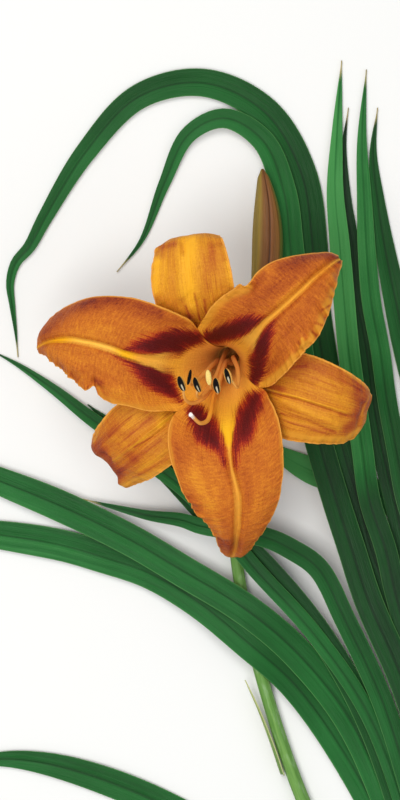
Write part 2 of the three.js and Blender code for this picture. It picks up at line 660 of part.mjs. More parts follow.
// a bud's radius along its length, as a part of its widest
function budOutline(t) {
  const { foot, tipCut, blunt } = BUD_OUTLINE;
  const belly = Math.sin(Math.PI * THREE.MathUtils.lerp(...BUD_OUTLINE.arc, t)) ** BUD_OUTLINE.fullness;
  return THREE.MathUtils.lerp(foot, 1, belly) * (1 - tipCut * t ** blunt);
}

function buildStalks() {
  add(plant, "crown", crown(), FINISHES.crown);
  const between = ([from, to]) => (t) => THREE.MathUtils.lerp(from, to, t);
  const scape = sweep(SCAPE.route, between(SCAPE.radii), STEPS.scape, SIDES.scape);
  add(plant, "scape", scape, FINISHES.stalk);
  for (const [name, { radii, route }] of Object.entries(STALKS)) {
    add(plant, name, sweep(route, between(radii), STEPS.stalk, SIDES.stalk), FINISHES.stalk);
  }
  for (const [name, { radius, route }] of Object.entries(BUDS)) {
    const outline = (t) => radius * budOutline(t);
    add(plant, name, sweep(route, outline, STEPS.bud, SIDES.bud), FINISHES.bud);
  }
  for (const [name, { width, faces, route }] of Object.entries(BRACTS)) {
    const halfWidth = (t) => Math.max(BRACT.point, (width / 2) * (1 - t ** BRACT.taper));
    const blade = ribbon(route, vector(faces), halfWidth, () => BRACT.fold, BRACT.thickness, STEPS.bract);
    add(plant, name, blade, FINISHES.stalk);
  }
}

buildFlower();
buildStalks();
buildLeaves();
plant.position.set(-ORIGIN[0], -ORIGIN[1], 0);

export default plant;
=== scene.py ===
import bpy
import numpy as np
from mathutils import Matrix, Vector


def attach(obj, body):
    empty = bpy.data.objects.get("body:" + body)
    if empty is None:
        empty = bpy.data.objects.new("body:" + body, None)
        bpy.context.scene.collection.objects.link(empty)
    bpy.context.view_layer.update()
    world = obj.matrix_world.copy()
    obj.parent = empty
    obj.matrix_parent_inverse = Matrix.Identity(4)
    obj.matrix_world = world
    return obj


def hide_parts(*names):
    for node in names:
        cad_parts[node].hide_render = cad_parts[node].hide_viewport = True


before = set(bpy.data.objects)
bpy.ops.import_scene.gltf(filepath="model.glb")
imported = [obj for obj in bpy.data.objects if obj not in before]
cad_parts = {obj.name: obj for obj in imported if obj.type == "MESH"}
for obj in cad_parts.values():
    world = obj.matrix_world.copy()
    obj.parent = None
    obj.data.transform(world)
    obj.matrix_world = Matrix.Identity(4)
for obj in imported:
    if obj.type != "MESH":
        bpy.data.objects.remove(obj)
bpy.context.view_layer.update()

MM = 0.001
ORIGIN = [35.5, -97.5]  # centre of the plant's own box, from the middle of the flower
GAP = 0.3  # clearance between pieces that touch


# ---------------------------------------------------------------- the flower's own frame
# a funnel of six tepals on a tube, with the height along its axis
FLOWER_MOUTH = [12.5, 18.5, 34]  # middle of the tube's mouth
FACING_TILT = 18  # degrees the flower's axis leans from straight up
FACING_AZIMUTH = 228.3  # degrees, the way it leans
TUBE_LENGTH = 26

# Each row of a tepal: radius, height, then the angles in degrees of one edge,
# the midrib and the other edge, counted anticlockwise about the flower's axis.
TEPALS = {
    "petal_left": [
        (4.5, 0, 113, 171, 229), (6.5, 9, 113, 171, 229), (9.5, 18, 112.5, 171, 229),
        (14, 27, 112, 170, 229), (20, 35, 109.5, 167, 228), (25, 39, 110, 166, 218.5),
        (30, 42, 116.5, 165.8, 210.5), (37, 44.8, 124.5, 165, 200), (43, 45.8, 131, 164, 195.4),
        (46.2, 46.2, 134.2, 164, 191.3), (47.4, 46.3, 135.4, 164, 188.3),
        (48.4, 46.4, 136.5, 164.1, 185), (50, 46.4, 138, 164.2, 186.2),
        (52, 46.2, 140, 164.5, 187), (54.5, 45.9, 142.4, 165, 185.4), (60, 44.8, 147.8, 166, 181),
        (67, 41.6, 155.7, 168.6, 177.6), (72, 38.2, 161.6, 171, 176),
        (75, 35.5, 166.2, 173, 175.8), (76.7, 33.8, 171, 174.2, 175.4),
    ],
    "petal_right": [
        (4.5, 0, -10, 48, 108), (6.5, 9, -10, 48, 108), (9.5, 18, -10, 48, 108),
        (14, 27, -11, 46, 108.5), (19, 34, -11.5, 42, 107), (22, 36.7, -10, 43.5, 102),
        (26, 39.7, -4.5, 45, 95), (30, 42, 3.6, 46.3, 89.3), (35, 44.1, 11.2, 47, 82),
        (38.4, 45, 15.3, 46.5, 77.4), (41, 45.5, 17.6, 46.2, 74.2), (42.8, 45.8, 19.4, 46.1, 72.4),
        (43.8, 46, 20.5, 46, 68.3), (46, 46.2, 21.4, 45.9, 67.4), (50, 46.4, 23.8, 45.7, 66.4),
        (56, 45.6, 29, 45.5, 63), (62, 44, 34.3, 45.5, 57.5), (68, 41, 39.3, 45, 51.7),
        (72, 38.2, 41.9, 44.5, 48.2), (73.8, 36.6, 43, 44, 45.2),
    ],
    "petal_front": [
        (4.5, 0, -127, -70, -14), (6.5, 9, -127, -70, -14), (9.5, 18, -127.5, -70, -14.5),
        (14, 27, -128, -70, -15), (19, 34, -129.5, -71, -16), (23, 37.5, -133, -72, -13.5),
        (27, 40.3, -130, -73, -19), (32, 42.9, -123.3, -74.3, -26), (38, 45, -115, -75, -35),
        (44, 46, -107.4, -74.8, -43.5), (50, 46.4, -102.3, -75, -50.5),
        (53.4, 46, -98, -75.8, -54.4), (56.4, 45.5, -97.1, -76.6, -57.2),
        (59.2, 44.8, -93.7, -77.5, -60.1), (63, 43.6, -90.7, -78.6, -64.2),
        (68, 41, -88.9, -80.2, -69.5), (74, 36.6, -88.2, -82, -75.4),
        (79, 31.8, -87.8, -83.8, -79.2), (81.5, 28.4, -86.4, -84.8, -82.8),
    ],
    "sepal_top": [
        (6, 0, 62, 109, 156), (8.4, 9, 62, 109, 156), (11.6, 17, 63, 108, 154),
        (16.8, 25, 64, 106.5, 148), (24, 31.6, 67, 105, 141), (31, 35.6, 71, 104.5, 135),
        (38, 38, 75.5, 103.5, 129), (44, 38.4, 78.7, 102.5, 125.3), (50, 37.6, 82, 102, 121.3),
        (54, 36, 84.3, 101.8, 118), (57, 33, 86.6, 101.5, 116.4), (57.8, 28.5, 90, 101.2, 112.5),
        (56.4, 24.5, 95.5, 101, 106.5),
    ],
    "sepal_right": [
        (6, 0, -58, -13, 34), (8.4, 9, -58, -13, 34), (11.6, 17, -57, -12.5, 33),
        (16.8, 25, -54, -12, 30), (24, 31.6, -50, -11, 25), (32, 36, -45, -9, 19),
        (40, 38, -39.7, -8.8, 16.7), (47, 38, -34.5, -10, 11.7), (53, 36.6, -31, -11, 6.8),
        (58, 33.8, -28.6, -12, 2.6), (62, 29.8, -26.8, -13, -1.4), (64.4, 26.6, -23.6, -13, -4.4),
        (65.4, 24, -19.6, -13, -7.4),
    ],
    "sepal_left": [
        (6, 0, -176, -131, -85), (8.4, 9, -176, -131, -85), (11.6, 17, -175, -131, -86),
        (16.8, 25, -172, -131, -89), (24, 31.6, -168, -131.5, -95), (32, 36, -165, -133, -104),
        (40, 38, -162, -134.5, -111.5), (46, 38.1, -159.3, -135, -115.8),
        (52, 36.9, -155.7, -135.5, -119), (57, 34.4, -153, -136.5, -121.8),
        (60.5, 31.5, -151, -137, -123.7), (63.2, 28.4, -149, -137.4, -125.4),
        (64.6, 25.5, -146, -137.4, -128.4),
    ],
}
FILAMENT = {
    "radius": 0.65, "tipRadius": 0.42,
    "root": {"radius": 2.75, "height": -1.5}, "mouth": {"radius": 2.9, "height": 4},
}
ANTHER = {"radius": 1.45, "length": 3.2, "standoff": 1.5}  # standoff: filament tip below its middle
ANTHER_STRETCH = 1.1  # length of its lobes, in parts of the CAD capsule's
# Stamens in the flower's frame: where the filament starts, in degrees, its points, the anther's
# middle and the way its long side points. Then the anther's bend and width, how far its pale
# rim shows, and whether it still holds its pollen, which makes it pale.
STAMENS = [
    {
        "root": 255, "anther": (-9.3, 0.1, 53.4), "lies": (-0.35, 1, 0.1),
        "bend": 0.15, "width": 1.1, "rim": 0.85, "pale": 0,
        "path": [
            (-2.7, -7.2, 21.3), (-4.3, -10.4, 34), (-7.5, -11, 41.1), (-9.2, -7.9, 47),
            (-9.4, -3.6, 50),
        ],
    },
    {
        "root": 195, "anther": (-6.2, 2.7, 52.5), "lies": (0.2, 1, 0),
        "bend": -0.1, "width": 0.5, "rim": 0.5, "pale": 0,
        "path": [(-2.7, 1, 14), (-3.7, 0.3, 27), (-5.6, -1.8, 38), (-6.9, -2, 46)],
    },
    {
        "root": 225, "anther": (-3.4, -0.7, 50.6), "lies": (-0.35, 1, 0.1),
        "bend": 0.2, "width": 1, "rim": 0.85, "pale": 0,
        "path": [(-1.3, -3.2, 17.4), (-2.6, -6.6, 32.6), (-4.2, -8, 42.8), (-4.1, -4.8, 48)],
    },
    {
        "root": 105, "anther": (1.7, 2.8, 51.7), "lies": (-0.1, 1, 0.1),
        "bend": 0, "width": 0.85, "rim": 0, "pale": 1,
        "path": [(-0.1, 1.2, 16.8), (0.6, -2.6, 33.4), (1, -3.8, 42.9), (1.5, -1.4, 46.9)],
    },
    {
        "root": 320, "anther": (4.7, -0.9, 49.8), "lies": (-0.18, 1, 0.1),
        "bend": 0.15, "width": 1.15, "rim": 0.9, "pale": 0,
        "path": [(1.5, 0.9, 12), (2, -1.2, 26), (3, -4.8, 38), (4.2, -5.2, 45.6)],
    },
    {
        "root": 10, "anther": (9, 2.9, 47.9), "lies": (-0.3, 1, 0),
        "bend": -0.15, "width": 1.15, "rim": 1.15, "pale": 0,
        "path": [(4.7, 2.9, 14.2), (8.8, 1.2, 26), (11.2, -1.5, 36), (11.6, -3.2, 42)],
    },
]
# neck: where along the path the ovary narrows
PISTIL = {
    "ovary": 1.5, "neck": (0.06, 0.1),
    "path": [
        (0, 0, -19), (0, -0.6, -6), (-0.2, -2.2, 6), (-1.2, -5, 16.3), (-0.9, -9.4, 27.7),
        (-0.4, -12.4, 34.6), (0.2, -15, 40.5), (-0.1, -17, 46.3), (-1.9, -16.6, 51.8),
        (-3.6, -13.6, 55.7), (-4.7, -11.1, 58.4),
    ],
}


# ---------------------------------------------------------------- the plant's measures
# crown: the short stock that the leaves grow from, trimmed below
CROWN = {
    "top": -318, "bottom": -346, "middle": 110, "halfWidth": 32, "halfHeight": 7.4, "lift": 5.6,
}
# width and height of the crown as parts of its largest, from the top to the trimmed end
CROWN_OUTLINE = [(1, 1), (1, 1), (0.97, 1), (0.86, 0.97), (0.66, 0.9), (0.5, 0.8)]
LEAF_START = CROWN["top"] + GAP

# Scape, stalks and buds: radii at the two ends of each route. inside: where a stalk ends
# inside the tube or bud that it carries.
SCAPE = {
    "radii": (3.8, 2.5),
    "route": [
        (99, LEAF_START, 4.1), (98, -300, 4.1), (89, -271, 3.9), (65, -222, 3.7), (39, -160, 3.6),
        (22, -102, 3.4), (16, -69, 3.2), (14, -35, 3), (15, -6, 2.9), (16, 2, 2.9),
    ],
}
STALKS = {
    "flower_stalk": {
        "radii": (2, 1.9), "inside": (17.6, 24.2, 10.4),
        "route": [
            (16.1, 2.4, 2.95), (17, 12, 3.1), (17.8, 18.5, 3.7), (18.3, 22.8, 5.6),
            (18.1, 24.5, 7.7),
        ],
    },
    "bud_stalk_long": {
        "radii": (1.4, 1.6), "inside": (27.2, 39, 10.2),
        "route": [(19.9, 1, 3), (23.4, 12, 4.2), (25.4, 24, 6.8), (26.6, 35, 9.4)],
    },
    "bud_stalk_short": {
        "radii": (1.2, 1.3), "inside": (5.6, 24.8, 5.3),
        "route": [(12, 1, 2.6), (9.4, 12, 3.2), (6.5, 22, 4.6)],
    },
}
# the foot's width and the curve of the belly and tip, as parts of the widest
BUD_OUTLINE = {"foot": 0.28, "arc": (0.06, 0.96), "fullness": 0.8, "tipCut": 0.45, "blunt": 6}
BUDS = {
    "bud_large": {
        "radius": 7,
        "route": [
            (26.7, 35.6, 9.6), (28, 48, 10), (29.6, 64, 10), (29.4, 84, 9.7), (27.5, 102, 9.4),
        ],
    },
    "bud_medium": {
        "radius": 4, "route": [(6.3, 22.5, 4.7), (3.6, 29, 5), (0.5, 36, 5), (-3, 43, 4.8)],
    },
    "bud_small": {
        "radius": 2.5,
        "route": [(18.2, -10.9, 3), (24, -8, 3.2), (29, -4.6, 3.4), (33, -1, 3.2)],
    },
}
BRACT = {"fold": 0.18, "thickness": 0.44, "point": 0.18, "taper": 2.2}
BRACTS = {
    "bract_flower": {
        "width": 6, "faces": (-0.2, 0.1, 1),
        "route": [(15, -7, 6.3), (14, 1, 6.8), (12.6, 10, 8.4), (10, 19, 10.4)],
    },
    "bract_bud": {
        "width": 5.4, "faces": (0.9, -0.1, 0.3),
        "route": [(17.4, -26, 3.4), (18.2, -20, 3.6), (20.4, -14, 5.6), (24, -7.6, 7.8)],
    },
    "bract_scape": {
        "width": 7, "faces": (-0.9, -0.3, 0.2),
        "route": [(37.2, -166, 4), (32.4, -152, 4.2), (26.8, -138, 4.8), (20, -124, 5.6)],
    },
}
# What all leaves share: thickness, the keel's fold and the part of the length over which
# it sets in, the width at the crown, the part over which the blade opens from it, the
# width of its point and its straight start.
LEAF = {
    "thickness": 0.5, "foldAngle": 9, "folds": (0.5, 0.75), "baseWidth": 12.5, "opens": 0.28,
    "point": 0.5, "straight": 5,
}
GREEN_TIPS = {"leaf_03", "leaf_04"}  # the other leaves have a dry brown point
LEFT_FAN = 111  # x where the left fan's leaves start
RIGHT_FAN = 129.5
OUTER_FAN = 87  # leaves on the far side of the scape
ON_FLOOR = 0.6  # height of a keel that lies on the floor
# Each leaf: width, the length over which its tip narrows, its place on the crown, its tone
# from 0 dark to 1 light by place along it, which for some leaves dips darker as painted shade
# where they lie under the flower, and the route of its keel, in which a point with no height
# lies on the floor.
LEAVES = {
    # left fan, from the lowest leaf up
    "leaf_01": {
        "width": 14, "tip": 80, "from": (LEFT_FAN, 1.1),
        "tone": [(0, 0.6), (0.5, 0.5), (1, 0.55)],
        "route": [
            (110, -267, 1.1), (91, -209, 1.1), (66, -160, 1.4), (42, -126, 5), (21, -107, 8.4),
            (0, -90, 5), (-22, -77, 1.8), (-45, -69.3, 0.9), (-62, -64.5), (-89, -60), (-116, -57),
            (-144, -58),
        ],
    },
    "leaf_02": {
        "width": 14, "tip": 100, "from": (LEFT_FAN, 2.4),
        "tone": [(0, 0.6), (0.5, 0.45), (1, 0.55)],
        "route": [
            (110, -266, 2.4), (94, -209, 2.5), (69, -146, 3.4), (44, -113, 7.6), (21, -93, 10.2),
            (-7, -76, 6.6), (-31, -62, 4.4), (-62, -47, 3), (-89, -36, 2), (-120, -24, 1),
            (-151, -18),
        ],
    },
    "leaf_03": {
        "width": 11, "tip": 60, "from": (LEFT_FAN, 3.7),
        "tone": [(0, 0.5), (0.5, 0.3), (1, 0.35)],
        "route": [
            (112, -266, 3.7), (97, -209, 3.9), (75, -143, 5.4), (52, -102, 8.6), (24, -69, 8.6),
            (4, -51, 5), (-13, -33, 1.6), (-31, -18), (-44, -7), (-50, -2),
        ],
    },
    "leaf_04": {
        "width": 7.5, "tip": 90, "from": (LEFT_FAN, 5),
        "tone": [(0, 0.6), (0.5, 0.5), (1, 0.55)],
        "route": [
            (112, -266, 5), (98, -208, 5.4), (76, -142, 7), (51, -104, 9.8), (24, -74, 11),
            (8, -54.5, 8), (-6, -40, 5.3), (-19, -30, 3.6), (-34, -18.5, 2.6), (-50, -7, 2.4),
            (-64, 4, 2), (-80, 15, 1), (-89, 20), (-93, 22),
        ],
    },
    "leaf_05": {
        "width": 9.5, "tip": 110, "from": (LEFT_FAN, 6.3),
        "tone": [(0, 0.6), (0.5, 0.4), (1, 0.5)],
        "route": [
            (113, -266, 6.3), (102, -208, 7), (82, -137, 8.8), (64, -97, 11.4), (52, -74, 12.6),
            (40, -65.5, 13.2), (30, -60.8, 13.5), (15, -57.6, 13.6), (0, -55.5, 11.4),
            (-8, -53, 9.6), (-23, -51, 6.4), (-40, -47, 4.4), (-52, -44, 3.4),
        ],
    },
    # right fan, from the lowest leaf up
    "leaf_06": {
        "width": 12.5, "tip": 34, "from": (RIGHT_FAN, 1.1),
        "tone": [(0, 0.6), (0.5, 0.5), (0.87, 0.55), (0.94, 0.95), (1, 1)],
        "route": [
            (134, -267, 1.1), (134, -200), (128, -133), (116, -89), (102, -60), (89, -48),
            (79, -42), (67, -37), (51, -32), (40, -26.5), (33, -22), (27, -17.5),
        ],
    },
    "leaf_07": {
        "width": 13, "tip": 150, "from": (RIGHT_FAN, 2.4),
        "tone": [(0, 0.5), (0.5, 0.35), (1, 0.35)],
        "route": [
            (133, -266, 2.4), (131, -200, 2.4), (123, -124, 2.6), (115, -71, 3.2), (108, -44, 3.2),
            (104, -22, 1.8), (98, 0), (92, 22), (87, 44), (82, 69), (79, 89), (77, 110), (79, 130),
        ],
    },
    "leaf_08": {
        "width": 9, "tip": 130, "from": (RIGHT_FAN, 3.7),
        "tone": [(0, 0.5), (0.5, 0.15), (1, 0.15)],
        "route": [
            (132, -266, 3.7), (123, -199, 3.7), (107, -124, 3.8), (92, -71, 3.6), (86, -44, 3.1),
            (81, -22, 1.6), (77, 0), (74, 22), (70, 44), (68, 67), (65, 89), (64, 112), (66, 130),
        ],
    },
    "leaf_09": {
        "width": 8.6, "tip": 110, "from": (RIGHT_FAN, 5),
        "tone": [(0, 0.6), (0.45, 0.35), (0.67, 0.3), (0.74, 0.65), (1, 0.7)],
        "route": [
            (131, -266, 5), (126, -200, 5), (112, -124, 5.6), (98, -66, 6), (91, -44, 5.4),
            (87, -22, 4.2), (83, 0, 3), (80, 22, 2.8), (76, 44, 2.8), (74, 67, 2.6), (73, 89, 2.2),
            (72, 116, 1.4), (74, 147),
        ],
    },
    "leaf_10": {
        "width": 13.5, "tip": 230, "from": (RIGHT_FAN, 6.3),
        "tone": [
            (0, 0.5), (0.35, 0.15), (0.43, 0.1), (0.47, 0.3), (0.6, 0.3), (0.8, 0.45), (1, 0.5),
        ],
        "route": [
            (130, -265, 6.3), (119, -199, 6.3), (102, -137, 6.8), (86, -93, 7.4), (76, -67, 6.2),
            (70, -44, 4), (64, -24, 3), (58, 0), (54, 22), (51, 44), (50, 69), (45, 101),
            (29, 128), (2, 141), (-27, 135), (-51, 110), (-69, 81), (-76, 68), (-82, 61),
            (-84.5, 52), (-83.5, 42), (-82, 30), (-81, 19),
        ],
    },
    "leaf_11": {
        "width": 9.6, "tip": 110, "from": (RIGHT_FAN, 7.6),
        # the dark stretch is painted shade where the leaf lies under the flower
        "tone": [
            (0, 0.6), (0.25, 0.15), (0.4, 0.15), (0.57, 0.25), (0.63, 0.65), (0.85, 0.9), (1, 0.7),
        ],
        "route": [
            (128, -265, 7.6), (116, -199, 7.6), (98, -128, 9), (86, -84, 9.6), (82, -66, 8.8),
            (75, -44, 6.6), (72, -22, 4.6), (69, 0, 3.2), (66, 22, 3), (64, 44, 2.8),
            (62, 69, 2.6), (60, 93, 2), (61, 120, 1.2), (63, 151),
        ],
    },
    "leaf_12": {
        "width": 12.4, "tip": 190, "from": (RIGHT_FAN, 8.9),
        # the dark stretch is painted shade where the leaf lies under the flower
        "tone": [(0, 0.5), (0.35, 0.2), (0.55, 0.25), (0.65, 0.6), (1, 0.5)],
        "route": [
            (127, -265, 8.9), (112, -199, 8.9), (91, -128, 10.6), (74, -88, 11), (67, -66, 8.6),
            (60, -44, 6.6), (53, -20, 5), (48, 0, 3.6), (44, 22, 3.2), (42, 44, 2.8),
            (40, 69, 2.4), (37, 93, 3), (28, 115, 3), (11, 125, 3), (-5, 118, 2), (-16, 96, 0.8),
            (-26, 71), (-37, 57),
        ],
    },
    # leaves on the far side of the scape
    "leaf_13": {
        "width": 13, "tip": 90, "from": (OUTER_FAN, 1.1),
        "tone": [(0, 0.6), (0.5, 0.5), (1, 0.5)],
        "route": [
            (85, -300, 1.1), (72, -264, 1.1), (45, -226), (5, -192), (-40, -170), (-80, -160),
            (-115, -162),
        ],
    },
    "leaf_14": {
        "width": 12, "tip": 80, "from": (OUTER_FAN, 2.4),
        "tone": [(0, 0.6), (0.5, 0.4), (1, 0.45)],
        "route": [
            (84, -301, 2.4), (68, -272, 2.4), (38, -245, 1.6), (0, -228), (-40, -224), (-80, -232),
        ],
    },
    "leaf_15": {
        "width": 9, "tip": 60, "from": (OUTER_FAN, 3.7),
        "tone": [(0, 0.6), (0.5, 0.5), (1, 0.55)],
        "route": [
            (83, -303, 3.7), (64, -283, 3.4), (34, -270, 1.4), (4, -268), (-24, -278),
        ],
    },
    # leaves that arch away to the right
    "leaf_16": {
        "width": 13, "tip": 90, "from": (RIGHT_FAN, 10.2),
        "tone": [(0, 0.6), (0.5, 0.45), (1, 0.5)],
        "route": [
            (133, -280, 10.2), (139, -258, 10), (147, -232, 7.6), (157, -195, 2.6), (166, -145),
            (180, -90), (196, -40), (216, 8),
        ],
    },
    "leaf_17": {
        "width": 11, "tip": 80, "from": (RIGHT_FAN, 11.6),
        "tone": [(0, 0.6), (0.5, 0.55), (1, 0.55)],
        "route": [
            (136, -284, 11.7), (154, -251, 10.6), (174, -220, 4), (196, -192, 1), (222, -168),
        ],
    },
}


# ---------------------------------------------------------------- the tepals' finer shape
# Marks on the flower are given on its plan: x to the right and y down, in units of 0.413 mm,
# with the plan's place (200, 400) at the plant's origin.
PLAN_UNIT = 0.413
PLAN_ORIGIN = (200, 400)


def alike(*pairs):
    """The same pairs of (place, value) for both edges of a tepal."""
    return pairs, pairs
